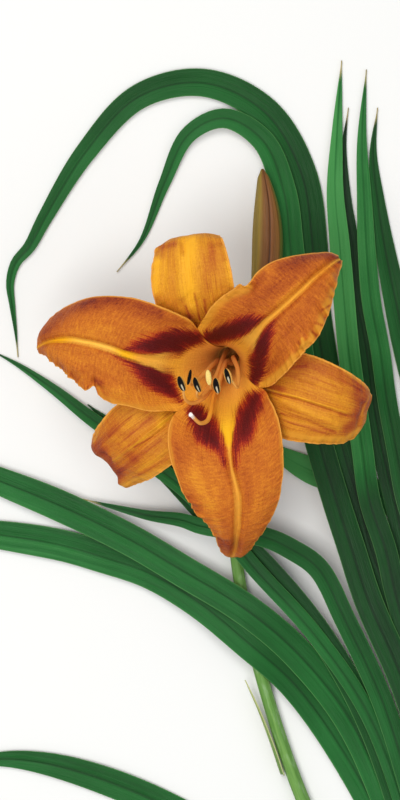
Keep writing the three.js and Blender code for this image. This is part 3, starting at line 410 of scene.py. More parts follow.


# For each tepal, by distance in millimetres from the flower's axis, for its first and its
# other edge: fall, how far the edge hangs, and crimp and frill, how strongly it is ruffled.
# arch: how far each half stands up.
# rib: half the width of the midrib's yellow stripe. rib_tone: its colour, by the same distance.
# eye: outlines of the dark zones.
# The rest are soft strokes: (points, half width, amount). tones: redder, or yellower if below
# 0; some also paint the shade of rolled edges, folds and curled ends, and light on ridges.
# gold: the edge's golden colour, and painted light on lit folds and rolled edges. notches:
# short strokes across the ruffled edge that paint shade in its creases, with an amount of tone
# and one of gold. folds: how far it stands up, in millimetres. juts: how much further out the
# tip reaches.
TEPAL_DETAIL = {
    "petal_left": {
        "seed": 11, "arch": 2,
        "rib": [
            (14, 6.4), (20, 4.6), (27, 2.5), (33, 1.5), (40, 1.25), (60, 1.1), (70, 0.7),
            (76, 0.4),
        ],
        "rib_tone": [(15, 0.1), (28, 0.2), (36, 0.6), (44, 0.95), (56, 0.9), (66, 0.6), (75, 0.4)],
        "fall": (
            [(0, 0), (34, 0), (50, -3.5), (68, -6), (77, -3)],
            [(0, 0), (38, 0), (50, 0.5), (66, -1), (77, -2)],
        ),
        "crimp": (
            [(0, 0), (34, 0.1), (55, 0.2), (77, 0.2)],
            [(0, 0), (36, 0.3), (45, 0.5), (52, 0.8), (70, 0.7), (77, 0.3)],
        ),
        "frill": (
            [(0, 0), (50, 0.05), (77, 0.1)],
            [(0, 0), (40, 0.1), (50, 0.6), (56, 1.4), (70, 1.3), (77, 0.4)],
        ),
        "eye": (
            [(124, 349), (130, 343), (137, 337), (149, 333), (161, 330), (174, 327.5), (186, 329),
             (204, 331), (204, 342), (197, 344), (186, 349), (178, 355), (167, 356), (155, 354),
             (140, 352.5), (130, 350.5)],
            [(115, 355), (125, 355), (140, 358), (155, 363.5), (165, 368), (171, 372), (173, 379),
             (178, 390), (181, 397), (181, 402), (171, 399), (155, 393), (147, 388), (140, 381),
             (134, 373), (129, 367), (121, 359)],
        ),
        "crease_shades": [
            ([(60, 370), (64, 364)], 0.8, 0.25, -0.7), ([(68, 377), (71, 371)], 0.8, 0.25, -0.7),
            ([(75, 383), (79, 377)], 0.8, 0.25, -0.7), ([(86, 390), (89, 384)], 0.8, 0.2, -0.6),
        ],
        "tones": [
            # the upper edge, which rolls under: its own red, darkened further as painted shade
            ([(44, 332), (60, 315), (90, 303), (125, 302), (160, 311)], 6, 0.32),
            ([(80, 304), (120, 300)], 3, 0.15), ([(52, 343), (62, 336)], 4, -0.1),
            ([(75, 332), (110, 328)], 11, -0.16), ([(52, 352), (80, 356), (105, 362)], 8, -0.14),
            ([(120, 310), (165, 318), (190, 325)], 5, 0.12), ([(84, 310), (98, 309)], 4, 0.14),
            # the second stroke here is a small painted shadow beside the folded lobe
            ([(115, 393), (140, 400), (170, 404)], 9, -0.22), ([(100, 382), (95, 379)], 3, 0.4),
            ([(60, 366), (75, 378)], 3, 0.12), ([(118, 372), (128, 380)], 6, -0.05),
            ([(100, 351), (120, 355)], 2.5, 0.12), ([(160, 340), (185, 352)], 3, 0.1),
        ],
        "gold_and_light": [
            ([(56, 367), (66, 376), (80, 388)], 3, 0.6),
            ([(103, 397), (118, 403), (150, 409), (180, 406)], 4, 0.6),
            # the first stroke here is painted light on the folded lobe's rim
            ([(98, 386), (100, 393)], 2, 0.5), ([(152, 304), (180, 315), (193, 323)], 2, 0.6),
            ([(140, 356), (160, 361), (180, 366)], 3, 0.5),
        ],
        "folds": [
            ([(86, 388), (96, 384)], 2.5, 0.8), ([(97, 380), (103, 384)], 2, 0.9),
            ([(92, 380), (100, 388)], 2, -0.5), ([(180, 326), (197, 334)], 1.2, 0.4),
            ([(60, 357), (80, 370)], 5, 0.7), ([(105, 385), (125, 392)], 5, 0.6),
        ],
    },
    "petal_right": {
        "seed": 23, "arch": 2,
        "rib": [
            (14, 5.2), (20, 3.6), (27, 2), (33, 1.2), (40, 0.95), (55, 0.85), (66, 0.6), (74, 0.3),
        ],
        "rib_tone": [(15, 0), (30, 0.2), (40, 0.3), (72, 0.3)],
        "fall": (
            [(0, 0), (28, 0), (36, 2.6), (44, 2.6), (50, 1), (62, -1.5), (74, -2)],
            [(0, 0), (30, 0), (48, -2), (66, -5), (74, -3)],
        ),
        "crimp": (
            [(0, 0), (30, 0.2), (38, 0.9), (46, 1.5), (60, 1.5), (68, 1), (74, 0.3)],
            [(0, 0), (30, 0.1), (44, 0.6), (52, 0.2), (74, 0.2)],
        ),
        "frill": (
            [(0, 0), (30, 0.4), (45, 0.8), (66, 0.7), (74, 0.2)],
            [(0, 0), (40, 0.2), (46, 0.4), (55, 0.1), (74, 0.1)],
        ),
        "eye": (
            [(274, 321), (274, 330), (273, 338), (271, 350), (267, 361), (265, 374), (259, 382),
             (255, 390), (248, 392), (248, 382), (251, 372), (249.5, 360), (252, 349), (257, 338),
             (264, 328)],
            [(265, 317), (252, 314), (242, 315), (232, 319), (221, 325), (211, 330), (205, 333),
             (201, 338), (202, 346), (217, 343.5), (227, 341), (238, 339), (246, 335), (255, 328),
             (263, 322.5)],
        ),
        "crease_shades": [
            ([(319, 312), (328, 307)], 0.9, 0.3, -0.8), ([(313, 323), (322, 327)], 0.9, 0.3, -0.8),
            ([(311, 332), (316, 338)], 0.9, 0.3, -0.6),
        ],
        "tones": [
            ([(335, 262), (318, 257), (300, 262), (280, 270)], 6, 0.36),
            ([(338, 262), (333, 268)], 4, 0.25), ([(300, 272), (275, 288), (250, 305)], 8, 0.2),
            ([(262, 278), (252, 290), (240, 296)], 4, 0.24),
            ([(336, 270), (325, 284), (318, 294)], 6, -0.12),
            ([(318, 290), (300, 315), (283, 338)], 8, 0.1), ([(300, 283), (280, 302)], 4, -0.2),
            ([(296, 301), (275, 322)], 2.5, 0.18), ([(284, 350), (272, 366)], 4, 0.16),
            # painted light on a fold's ridge and painted shade beside it
            ([(302, 338), (304, 342), (311, 345)], 1, -0.4), ([(299, 341), (302, 346)], 1, 0.3),
            ([(225, 300), (210, 318)], 6, -0.2), ([(215, 335), (255, 322)], 8, 0.15),
            ([(226, 302), (238, 291)], 4, 0.16), ([(266, 335), (258, 375)], 8, 0.15),
        ],
        "gold_and_light": [
            ([(330, 293), (324, 309), (318, 325), (311, 337)], 5, 0.75),
            ([(324, 299), (332, 301)], 0.8, -0.5),
            # the rolled lower margin: its golden colour, brightened as painted light
            ([(303, 350), (295, 356), (287, 366), (278, 375), (267, 383), (257, 386)], 4.2, 0.95),
            # painted light on the fold over the sepal
            ([(302, 346), (308, 341)], 2.5, 0.8), ([(302, 338), (304, 342), (311, 345)], 1.2, 1.2),
            ([(246, 290), (230, 295), (215, 305), (207, 318)], 6, 0.75),
            ([(207, 318), (200, 330), (199, 342)], 2.5, 0.9), ([(262, 270), (255, 276)], 3, 0.5),
            # the first stroke here is a painted highlight on the edge
            ([(238, 286), (247, 287)], 2, 0.6), ([(336, 276), (338, 268)], 2.5, 0.3),
            ([(232, 332), (246, 340), (252, 336)], 3, 0.5),
        ],
        "folds": [
            ([(302, 344), (306, 340), (312, 343)], 2.2, 1.3), ([(300, 350), (308, 349)], 2, -0.8),
            ([(249, 284), (238, 289), (228, 296)], 2.5, 1.2), ([(252, 288), (246, 296)], 3, -1),
            ([(288, 352), (276, 366)], 2.5, -0.5),
        ],
    },
    "petal_front": {
        "seed": 37, "arch": 1.8,
        "rib": [
            (10, 5), (16, 4.2), (21.5, 3.3), (27, 1.8), (31, 0.7), (38, 0.5), (42, 0.95),
            (53, 1.45), (63, 1.25), (72, 0.8), (80, 0.5),
        ],
        "rib_tone": [(12, 0.2), (17, 0.6), (27, 0.6), (34, 0.1), (80, 0)],
        "fall": (
            [(0, 0), (38, 0), (50, -1), (66, -1.5), (80, -2)],
            [(0, 0), (38, 0), (50, -2), (66, -2.5), (80, -2)],
        ),
        "crimp": (
            [(0, 0), (30, 0.1), (45, 0.2), (54, 0.7), (74, 0.7), (80, 0.3)],
            [(0, 0), (30, 0.2), (45, 0.3), (56, 0.4), (74, 0.5), (80, 0.3)],
        ),
        "frill": (
            [(0, 0), (45, 0.1), (54, 0.7), (80, 0.4)],
            [(0, 0), (45, 0.1), (60, 0.4), (80, 0.4)],
        ),
        "eye": (
            [(186, 410), (189, 421), (194, 433), (199, 445), (208, 449), (218, 454.5), (225, 467),
             (228, 462), (225, 449), (221, 435), (218, 422), (213, 416), (207, 412), (201, 405),
             (191, 404)],
            [(264, 391), (247, 393), (243, 403), (237, 412), (234.5, 422), (232.5, 434),
             (232, 446), (235, 465), (237.5, 469), (240, 456), (244, 448), (252, 442), (257, 432),
             (260, 418), (263, 404)],
        ),
        "tones": [
            ([(175, 445), (180, 460)], 5, 0.16), ([(188, 499), (196, 508)], 5, 0.25),
            # the first stroke darkens the curled-down tip: its own red, with painted shade
            ([(215, 548), (235, 546)], 7, 0.4), ([(205, 530), (215, 545)], 4, 0.15),
            ([(276, 500), (262, 530)], 5, 0.04), ([(245, 470), (250, 500)], 5, 0.08),
            ([(262, 480), (255, 515)], 8, -0.12), ([(205, 425), (214, 446)], 8, -0.1),
            ([(252, 405), (242, 440)], 8, -0.1), ([(262, 424), (263, 438)], 5, -0.16),
            ([(214, 470), (218, 490)], 5, -0.14), ([(195, 475), (212, 505)], 9, -0.3),
            ([(272, 440), (275, 470)], 6, -0.06), ([(216, 520), (220, 532)], 4, -0.22),
            ([(228, 470), (233, 490)], 2.5, 0.1), ([(262, 410), (268, 400)], 3, 0.2),
            ([(178, 415), (178, 435)], 6, -0.1),
        ],
        "gold_and_light": [
            ([(172, 418), (169, 440), (175, 475)], 2.2, 0.6),
            ([(272, 400), (280, 430), (282, 470)], 2.2, 0.5), ([(214, 545), (206, 530)], 2, 0.4),
            ([(216, 405), (232, 395), (228, 425)], 5, 0.9),
        ],
        "folds": [
            ([(186, 500), (196, 505)], 3, 0.8), ([(200, 518), (212, 528)], 3, 0.6),
            ([(218, 538), (226, 550)], 2.5, -0.5), ([(266, 525), (255, 540)], 3, 0.5),
        ],
    },
    "sepal_top": {
        "seed": 41, "arch": 1.6,
        "fall": alike((0, 0), (30, -1), (58, -1.5)),
        "crimp": ([(0, 0), (30, 0.15), (58, 0.3)], [(0, 0), (30, 0.15), (58, 0.4)]),
        "frill": alike((0, 0), (58, 0.2)),
        "tones": [
            ([(190, 246), (188, 270), (189, 305)], 8, -0.34), ([(228, 265), (232, 285)], 4, -0.3),
            ([(156, 262), (154, 290)], 5, -0.4), ([(162, 248), (176, 246)], 3, 0.25),
            ([(212, 250), (208, 285)], 6, 0.16), ([(163, 265), (164, 292)], 6, -0.16),
            ([(182, 246), (184, 256)], 2, 0.2), ([(205, 312), (196, 326), (186, 318)], 9, 0.08),
            ([(195, 292), (200, 318)], 1.2, 0.35), ([(190, 250), (195, 300)], 25, -0.12),
            ([(205, 298), (207, 316)], 1.2, 0.35), ([(175, 303), (188, 315)], 4, 0.1),
            ([(186, 304), (190, 316)], 1.2, 0.35), ([(183, 299), (191, 313)], 5, 0.28),
        ],
        "gold_and_light": [
            ([(152, 262), (151, 285), (155, 303)], 2.5, 0.5), ([(226, 250), (233, 285)], 2.5, 0.5),
        ],
        "folds": [
            ([(190, 243), (189, 300)], 3, -0.6), ([(181, 243), (180, 295)], 2.5, 0.5),
            ([(199, 243), (198, 295)], 2.5, 0.5), ([(208, 244), (212, 290)], 1.6, -0.35),
            ([(168, 247), (164, 290)], 1.6, -0.35), ([(184, 244), (184, 252)], 3, -1),
        ],
    },
    "sepal_right": {
        "seed": 53, "arch": 1.8,
        "fall": ([(0, 0), (30, -1), (65, -1.5)], [(0, 0), (30, -1), (65, -2)]),
        "crimp": alike((0, 0), (30, 0.15), (65, 0.3)),
        "frill": alike((0, 0), (65, 0.25)),
        "tones": [
            ([(300, 362), (330, 370), (358, 386)], 7, 0.2), ([(288, 368), (306, 366)], 2, 0.2),
            ([(274, 386), (284, 389)], 4, 0.3), ([(284, 372), (296, 376)], 5, 0.15),
            # a paler line above a darker one along the midrib's ridge: painted light and shade
            ([(270, 389), (300, 396), (345, 411)], 0.9, -0.25),
            ([(272, 392), (300, 399), (345, 414)], 0.9, 0.22),
            ([(285, 400), (310, 411), (338, 424)], 4, -0.14),
            ([(283, 413), (310, 420), (335, 432)], 1, 0.25),
            ([(280, 419), (305, 426), (328, 434)], 0.9, 0.2),
            ([(290, 408), (330, 422)], 0.8, 0.14), ([(300, 372), (335, 386)], 0.8, 0.12),
            ([(359, 393), (364, 404)], 8, 0.4), ([(356, 408), (360, 402)], 5, 0.2),
            ([(355, 419), (346, 428)], 6, 0.32), ([(318, 385), (345, 397)], 3, -0.12),
            ([(300, 380), (340, 393)], 1.2, 0.16), ([(340, 414), (358, 414)], 3, 0.2),
            ([(360, 394), (361, 405)], 4, -0.16),
        ],
        "gold_and_light": [
            ([(285, 433), (310, 439), (345, 440), (358, 430)], 3.5, 1),
            ([(310, 356), (340, 369), (366, 388)], 1.6, 0.6), ([(368, 396), (362, 415)], 1.6, 0.5),
        ],
        "folds": [
            ([(268, 388), (300, 396), (350, 412)], 1.3, 0.7),
            ([(270, 392), (300, 400), (345, 415)], 1.2, -0.5), ([(285, 402), (335, 424)], 4, 0.6),
            ([(283, 415), (335, 431)], 1.2, -0.5), ([(300, 380), (345, 397)], 1.5, -0.4),
            ([(363, 404), (358, 424)], 3, -0.9),
        ],
    },
    "sepal_left": {
        "seed": 67, "arch": 1.6,
        "fall": alike((0, 0), (30, -1), (66, -1.5)),
        "crimp": alike((0, 0), (30, 0.2), (66, 0.3)),
        "frill": alike((0, 0), (66, 0.2)),
        "tones": [
            ([(172, 415), (145, 436), (113, 461)], 2, -0.2), ([(152, 437), (134, 447)], 0.9, 0.3),
            ([(160, 441), (140, 455), (119, 471)], 2.6, 0.22),
            # painted shade, with the end's own red, on the curled end, and painted shade over the
            # part that curves down
            ([(93, 447), (101, 453), (119, 476)], 6, 0.34), ([(110, 428), (126, 462)], 18, 0.13),
            ([(98, 440), (104, 450)], 4, 0.16), ([(156, 428), (128, 446)], 0.8, 0.16),
            ([(104, 436), (112, 424)], 5, 0.04), ([(130, 418), (108, 436)], 1.4, 0.2),
            ([(150, 418), (118, 444)], 1.4, 0.22), ([(140, 415), (122, 428)], 4, -0.1),
            ([(165, 452), (140, 470)], 3, -0.12), ([(166, 460), (138, 476)], 1.2, 0.16),
            ([(127, 453), (134, 459)], 4, 0.16), ([(115, 439), (124, 442)], 4, -0.16),
            ([(160, 415), (159, 426)], 4, -0.24),
        ],
        "gold_and_light": [
            ([(168, 468), (145, 479), (124, 484)], 3.5, 0.85),
            ([(112, 406), (96, 428), (92, 442)], 2, 0.6),
        ],
        "folds": [
            ([(172, 414), (145, 435), (112, 460)], 2, 0.9),
            ([(165, 428), (145, 443), (118, 465)], 1.6, -0.6),
            ([(150, 416), (112, 444)], 1.6, -0.4), ([(168, 455), (130, 477)], 1.6, -0.3),
            ([(101, 446), (108, 454)], 3, 0.8),
        ],
        "juts": [
            ([(121, 482), (126, 486)], 4.5, 3), ([(91, 447), (97, 452)], 5, 1.5),
            ([(104, 455), (109, 461)], 3.5, -1.6),
        ],
    },
}


# ---------------------------------------------------------------- colours
# A colour is as seen, 0 to 255. A list of tones holds (place, red, green, blue).
GOLD = (214, 144, 38)
# a thin bright rim along the tepals' edges: painted rim light
RIM_LIGHT = (232, 160, 62)
TUBE_TOP = (214, 154, 54)
PETAL_BACK = (230, 140, 34)
SEPAL_BACK = (220, 158, 48)
THROAT_VEINS = (224, 134, 50)
PETAL_TONES = [
    (0, 222, 144, 32), (0.25, 206, 119, 27), (0.45, 188, 97, 22), (0.65, 168, 78, 17),
    (0.85, 142, 54, 15), (1, 112, 33, 14),
]
SEPAL_TONES = [
    (0, 234, 166, 32), (0.25, 212, 140, 28), (0.45, 194, 116, 24), (0.65, 172, 84, 22),
    (0.85, 150, 56, 20), (1, 122, 36, 18),
]
EYE_TONES = [(0, 190, 76, 18), (0.2, 158, 38, 16), (0.5, 124, 20, 14), (1, 88, 11, 12)]
# by distance from the flower's axis, in parts of 100 mm; paler and brighter deep in the throat,
# as painted light against its shade
LIT_THROAT_TONES = [
    (0, 250, 182, 100), (0.06, 252, 180, 92), (0.1, 255, 184, 78), (0.16, 255, 184, 56),
    (0.25, 252, 168, 42),
]
# the midrib's stripe, by rib_tone
RIB_TONES = [(0, 228, 164, 60), (0.3, 246, 184, 64), (0.6, 252, 196, 24), (1, 255, 206, 92)]
FILAMENT_TONES = [
    (0, 170, 112, 52), (0.3, 212, 142, 74), (0.6, 236, 160, 72), (0.93, 236, 164, 72),
    (1, 240, 200, 130),
]
PISTIL_TONES = [
    (0, 120, 150, 60), (0.08, 160, 160, 66), (0.3, 228, 146, 60), (0.75, 240, 162, 48),
    (0.955, 232, 160, 76), (0.975, 244, 232, 220), (1, 250, 246, 240),
]
SAC_TONES = [(0, 3, 2, 3), (0.55, 9, 7, 8), (1, 36, 29, 26)]
# pale groove on one half of the anther: pollen in the split, painted paler as a highlight
SAC_GROOVE_POLLEN_AND_HIGHLIGHT = (196, 186, 160)
SAC_RIM = (226, 170, 84)
POLLEN_TONES = [(0, 206, 158, 70), (0.5, 238, 208, 120), (1, 250, 234, 176)]
TUBE_TONES = [(0, 104, 134, 54), (0.4, 160, 160, 62), (0.8, 204, 160, 56), (1, *TUBE_TOP)]
TUBE_INSIDE = (190, 124, 62)
LEAF_TONES = [
    (0, 2, 28, 6), (0.25, 3, 47, 12), (0.5, 8, 71, 21), (0.75, 25, 99, 39), (1, 60, 134, 66),
]
LEAF_FOOT_TONES = [(0, 226, 220, 176), (0.3, 196, 206, 138), (1, 120, 168, 90)]
DRY_LEAF = (190, 170, 120)
LEAF_EDGE = (120, 180, 104)
STALK_TONES = [(0, 52, 92, 36), (0.4, 90, 138, 58), (0.7, 124, 166, 80), (1, 160, 190, 108)]
STALK_BLOOM = (168, 192, 160)
BRACT_TONES = [(0, 74, 118, 46), (0.4, 112, 150, 66), (0.75, 166, 176, 96), (1, 190, 162, 106)]
BRACT_EDGE = (206, 204, 150)
# where the bud's tepals meet, in degrees, and the bands of colour round it
BUD_SEAMS = (30, 150, 272)
BUD_BANDS = [
    (0, 112, 118, 40), (0.12, 134, 100, 40), (0.35, 118, 84, 38), (0.5, 150, 132, 50),
    (0.63, 150, 132, 50), (0.68, 134, 92, 38), (0.742, 124, 78, 34), (0.755, 62, 38, 28),
    (0.77, 138, 88, 40), (0.87, 136, 100, 42), (0.9, 108, 118, 46), (1, 100, 120, 48),
]
BUD_TONES = [(0, 84, 68, 28), (0.5, 146, 124, 52), (1, 198, 174, 84)]
BUD_FOOT = (112, 140, 62)
CROWN_TONES = [
    (0, 110, 82, 48), (0.3, 164, 134, 88), (0.55, 206, 184, 134), (0.8, 228, 216, 174),
    (1, 240, 234, 204),
]
CROWN_NECK = (206, 208, 150)


# ---------------------------------------------------------------- curves and frames
TILT, AZIMUTH = np.radians(FACING_TILT), np.radians(FACING_AZIMUTH)
AXIS = np.array([np.sin(TILT) * np.cos(AZIMUTH), np.sin(TILT) * np.sin(AZIMUTH), np.cos(TILT)])
ACROSS = np.array([1, 0, 0]) - AXIS[0] * AXIS
ACROSS = ACROSS / np.linalg.norm(ACROSS)
RISE = np.cross(AXIS, ACROSS)
SMALL = 1e-9  # keeps a length of 0 from dividing
LEVEL_LIMIT = 0.3  # a route steeper than this takes its first side from X


def from_flower(points):
    """Points in the flower's frame, as seen in the plant's."""
    return FLOWER_MOUTH + np.asarray(points, float) @ np.array([ACROSS, RISE, AXIS])


def unit(vectors):
    return vectors / np.maximum(np.linalg.norm(vectors, axis=-1, keepdims=True), SMALL)


def run_along(points):
    """The length of a line of points up to each of them."""
    step = np.linalg.norm(np.diff(points, axis=0), axis=1)
    return np.concatenate([[0], np.cumsum(step)])


def smooth_line(points, t):
    """Points on a centripetal Catmull-Rom curve at t, from 0 at its start to 1 at its end."""
    p = np.asarray(points, float)
    count = len(p)
    x = np.clip(np.asarray(t, float), 0, 1) * (count - 1)
    i = np.minimum(np.floor(x).astype(int), count - 2)
    w = (x - i)[:, None]
    p = np.vstack([2 * p[0] - p[1], p, 2 * p[-1] - p[-2]])
    p0, p1, p2, p3 = p[i], p[i + 1], p[i + 2], p[i + 3]
    d0, d1, d2 = (
        np.maximum(np.linalg.norm(b - a, axis=1) ** 0.5, 1e-4)[:, None]
        for a, b in ((p0, p1), (p1, p2), (p2, p3))
    )
    start = ((p1 - p0) / d0 - (p2 - p0) / (d0 + d1) + (p2 - p1) / d1) * d1
    end = ((p2 - p1) / d1 - (p3 - p1) / (d1 + d2) + (p3 - p2) / d2) * d1
    cube = 2 * p1 - 2 * p2 + start + end
    return p1 + start * w + (3 * p2 - 3 * p1 - 2 * start - end) * w**2 + cube * w**3


def even_line(points, t):
    """The same curve with t in equal steps of its length, and that length."""
    fine = np.linspace(0, 1, 200 * (len(points) - 1) + 1)
    run = run_along(smooth_line(points, fine))
    place = np.interp(np.asarray(t) * run[-1], run, fine)
    return smooth_line(points, place), run[-1]


def smoothstep(x, low, high):
    w = np.clip((np.asarray(x, float) - low) / (high - low), 0, 1)
    return w * w * (3 - 2 * w)


def knots(t, pairs):
    """A smooth value at t through pairs of (place, value)."""
    x, y = np.array(pairs, float).T
    i = np.clip(np.searchsorted(x, t, side="right") - 1, 0, len(x) - 2)
    return y[i] + (y[i + 1] - y[i]) * smoothstep(t, x[i], x[i + 1])


def bell(x, width):
    return np.exp(-((x / width) ** 2))


def turned(angle, start=0.0):
    """An angle counted from start, between minus and plus half a turn."""
    return np.angle(np.exp(1j * (angle - start)))


def wave(x, lengths, seed):
    """An irregular wave of about unit height along x, made of several wavelengths."""
    rng = np.random.default_rng(seed)
    total = np.zeros_like(x)
    for length in lengths:
        total = total + np.sin(2 * np.pi * (x / length + rng.random())) * rng.uniform(0.6, 1)
    return total / len(lengths) ** 0.5


def spread(columns):
    """Places across a blade from -1 to 1, closer together at its midrib and its edges."""
    q = np.linspace(0, 1, columns // 2 + 1)
    half = q - 0.11 * np.sin(2 * np.pi * q)
    return np.concatenate([-half[:0:-1], half])


# ---------------------------------------------------------------- meshes
def grid_quads(index):
    """Faces of a grid of vertex numbers, looking the way of rows x columns."""
    corners = (index[:-1, :-1], index[1:, :-1], index[1:, 1:], index[:-1, 1:])
    return np.stack(corners, axis=-1).reshape(-1, 4)


def grid_normals(grid):
    return unit(np.cross(np.gradient(grid, axis=0), np.gradient(grid, axis=1)))


def place_object(name, data):
    made = bpy.data.objects.new(name, data)
    bpy.context.scene.collection.objects.link(made)
    return made


def body(name, points, faces, fields, look):
    """A piece in place of the CAD node of that name, with fields of numbers at its vertices."""
    place = (np.asarray(points, float).reshape(-1, 3) - [*ORIGIN, 0]) * MM
    mesh = bpy.data.meshes.new(f"{name}_fine")
    mesh.from_pydata(place.tolist(), [], faces)
    for field, values in fields.items():
        layer = mesh.attributes.new(field, "FLOAT", "POINT")
        layer.data.foreach_set("value", np.asarray(values, np.float32).ravel())
    mesh.polygons.foreach_set("use_smooth", [True] * len(mesh.polygons))
    mesh.materials.append(look)
    piece = place_object(f"{name}_fine", mesh)
    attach(piece, "root")
    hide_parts(name)


def sheet_body(name, front, back, fields, look):
    """A closed sheet between two grids of points, with the same fields on both. behind is 0
    on its front and 1 on its back."""
    rows, columns = front.shape[:2]
    index = np.arange(rows * columns).reshape(rows, columns)
    loop = np.concatenate([index[:, 0], index[-1, 1:], index[-2::-1, -1], index[0, -2:0:-1]])
    ahead = np.roll(loop, -1)
    rim = np.stack([ahead, loop, loop + index.size, ahead + index.size], axis=-1)
    inner = grid_quads(index + index.size)[:, ::-1]
    faces = np.concatenate([grid_quads(index), inner, rim]).tolist()
    fields = {
        key: np.tile(np.broadcast_to(values, index.shape).ravel(), 2)
        for key, values in fields.items()
    }
    fields["behind"] = np.repeat([0.0, 1.0], index.size)
    points = np.concatenate([front.reshape(-1, 3), back.reshape(-1, 3)])
    body(name, points, faces, fields, look)


def capped(values, first=0, last=0):
    """Values on rings, then those of the vertices that close the two ends."""
    return np.concatenate([np.ravel(values), [first, last]])


def ring_points(grid, first, last):
    return np.concatenate([grid.reshape(-1, 3), [first], [last]])


def ring_faces(rings, sides):
    """Faces of a closed body of rings, with a vertex more at each end."""
    index = np.arange(rings * sides).reshape(rings, sides)
    around = np.concatenate([index, index[:, :1]], axis=1)
    faces = grid_quads(around)[:, ::-1].tolist()
    first, last = rings * sides, rings * sides + 1
    for k in range(sides):
        faces.append([first, around[0, k + 1], around[0, k]])
        faces.append([last, around[-1, k], around[-1, k + 1]])
    return faces


# rings of each round body, without the closer ones at its ends, and places round it
FINENESS = {
    "filament": (70, 14), "anther": (44, 40), "pistil": (150, 18), "scape": (260, 28),
    "stalk": (60, 28), "bud": (110, 96), "crown": (80, 140),
}


def circle(sides):
    return np.linspace(0, 2 * np.pi, sides, endpoint=False)


def stations(count, close=0.03):
    """Places from 0 to 1, close together at both ends, for rounded ends."""
    q = np.linspace(0, np.pi / 2, 6)
    ends = close * (1 - np.cos(q))
    return np.concatenate([ends, np.linspace(close, 1 - close, count)[1:-1], 1 - ends[::-1]])


def round_ends(t, close=0.03):
    """1 along the middle, falling to almost 0 at both ends in a quarter circle."""
    inward = np.minimum(np.minimum(t, 1 - t) / close, 1)
    return np.sqrt(np.maximum(1 - (1 - inward) ** 2, 0.004))


def route_frames(route, t):
    """Points along a route, with the side and rise directions that turn with it, and its
    length."""
    points, length = even_line(route, t)
    tangent = unit(np.gradient(points, axis=0))
    side = np.cross(tangent[0], [0, 0, 1])
    if np.linalg.norm(side) < LEVEL_LIMIT:
        side = np.array([1.0, 0, 0])
    sides = []
    for forward in tangent:
        side = unit(side - forward * (side @ forward))
        sides.append(side)
    sides = np.array(sides)
    return points, sides, np.cross(tangent, sides), length


def round_body(route, fineness, radius, close=0.03):
    """Rings along a route and its two ends. radius(t, turn) gives a grid of radii."""
    count, sides = fineness
    t = stations(count, close)
    points, across, rise, length = route_frames(route, t)
    t, turn = np.meshgrid(t, circle(sides), indexing="ij")
    ring = across[:, None] * np.cos(turn)[..., None] + rise[:, None] * np.sin(turn)[..., None]
    grid = points[:, None] + radius(t, turn)[..., None] * ring
    fields = {
        "along": capped(t, 0, 1),
        "turn": capped(turn / (2 * np.pi)),
        "length": capped(t * length, 0, length),
        "round_x": capped(np.cos(turn)),
        "round_y": capped(np.sin(turn)),
    }
    return ring_points(grid, points[0], points[-1]), ring_faces(len(t), sides), fields


# ---------------------------------------------------------------- materials
def srgb(*rgb):
    """A colour as seen, 0 to 255, as the shader's own values."""
    c = np.array(rgb, float) / 255
    return (*np.where(c <= 0.04045, c / 12.92, ((c + 0.055) / 1.055) ** 2.4), 1.0)


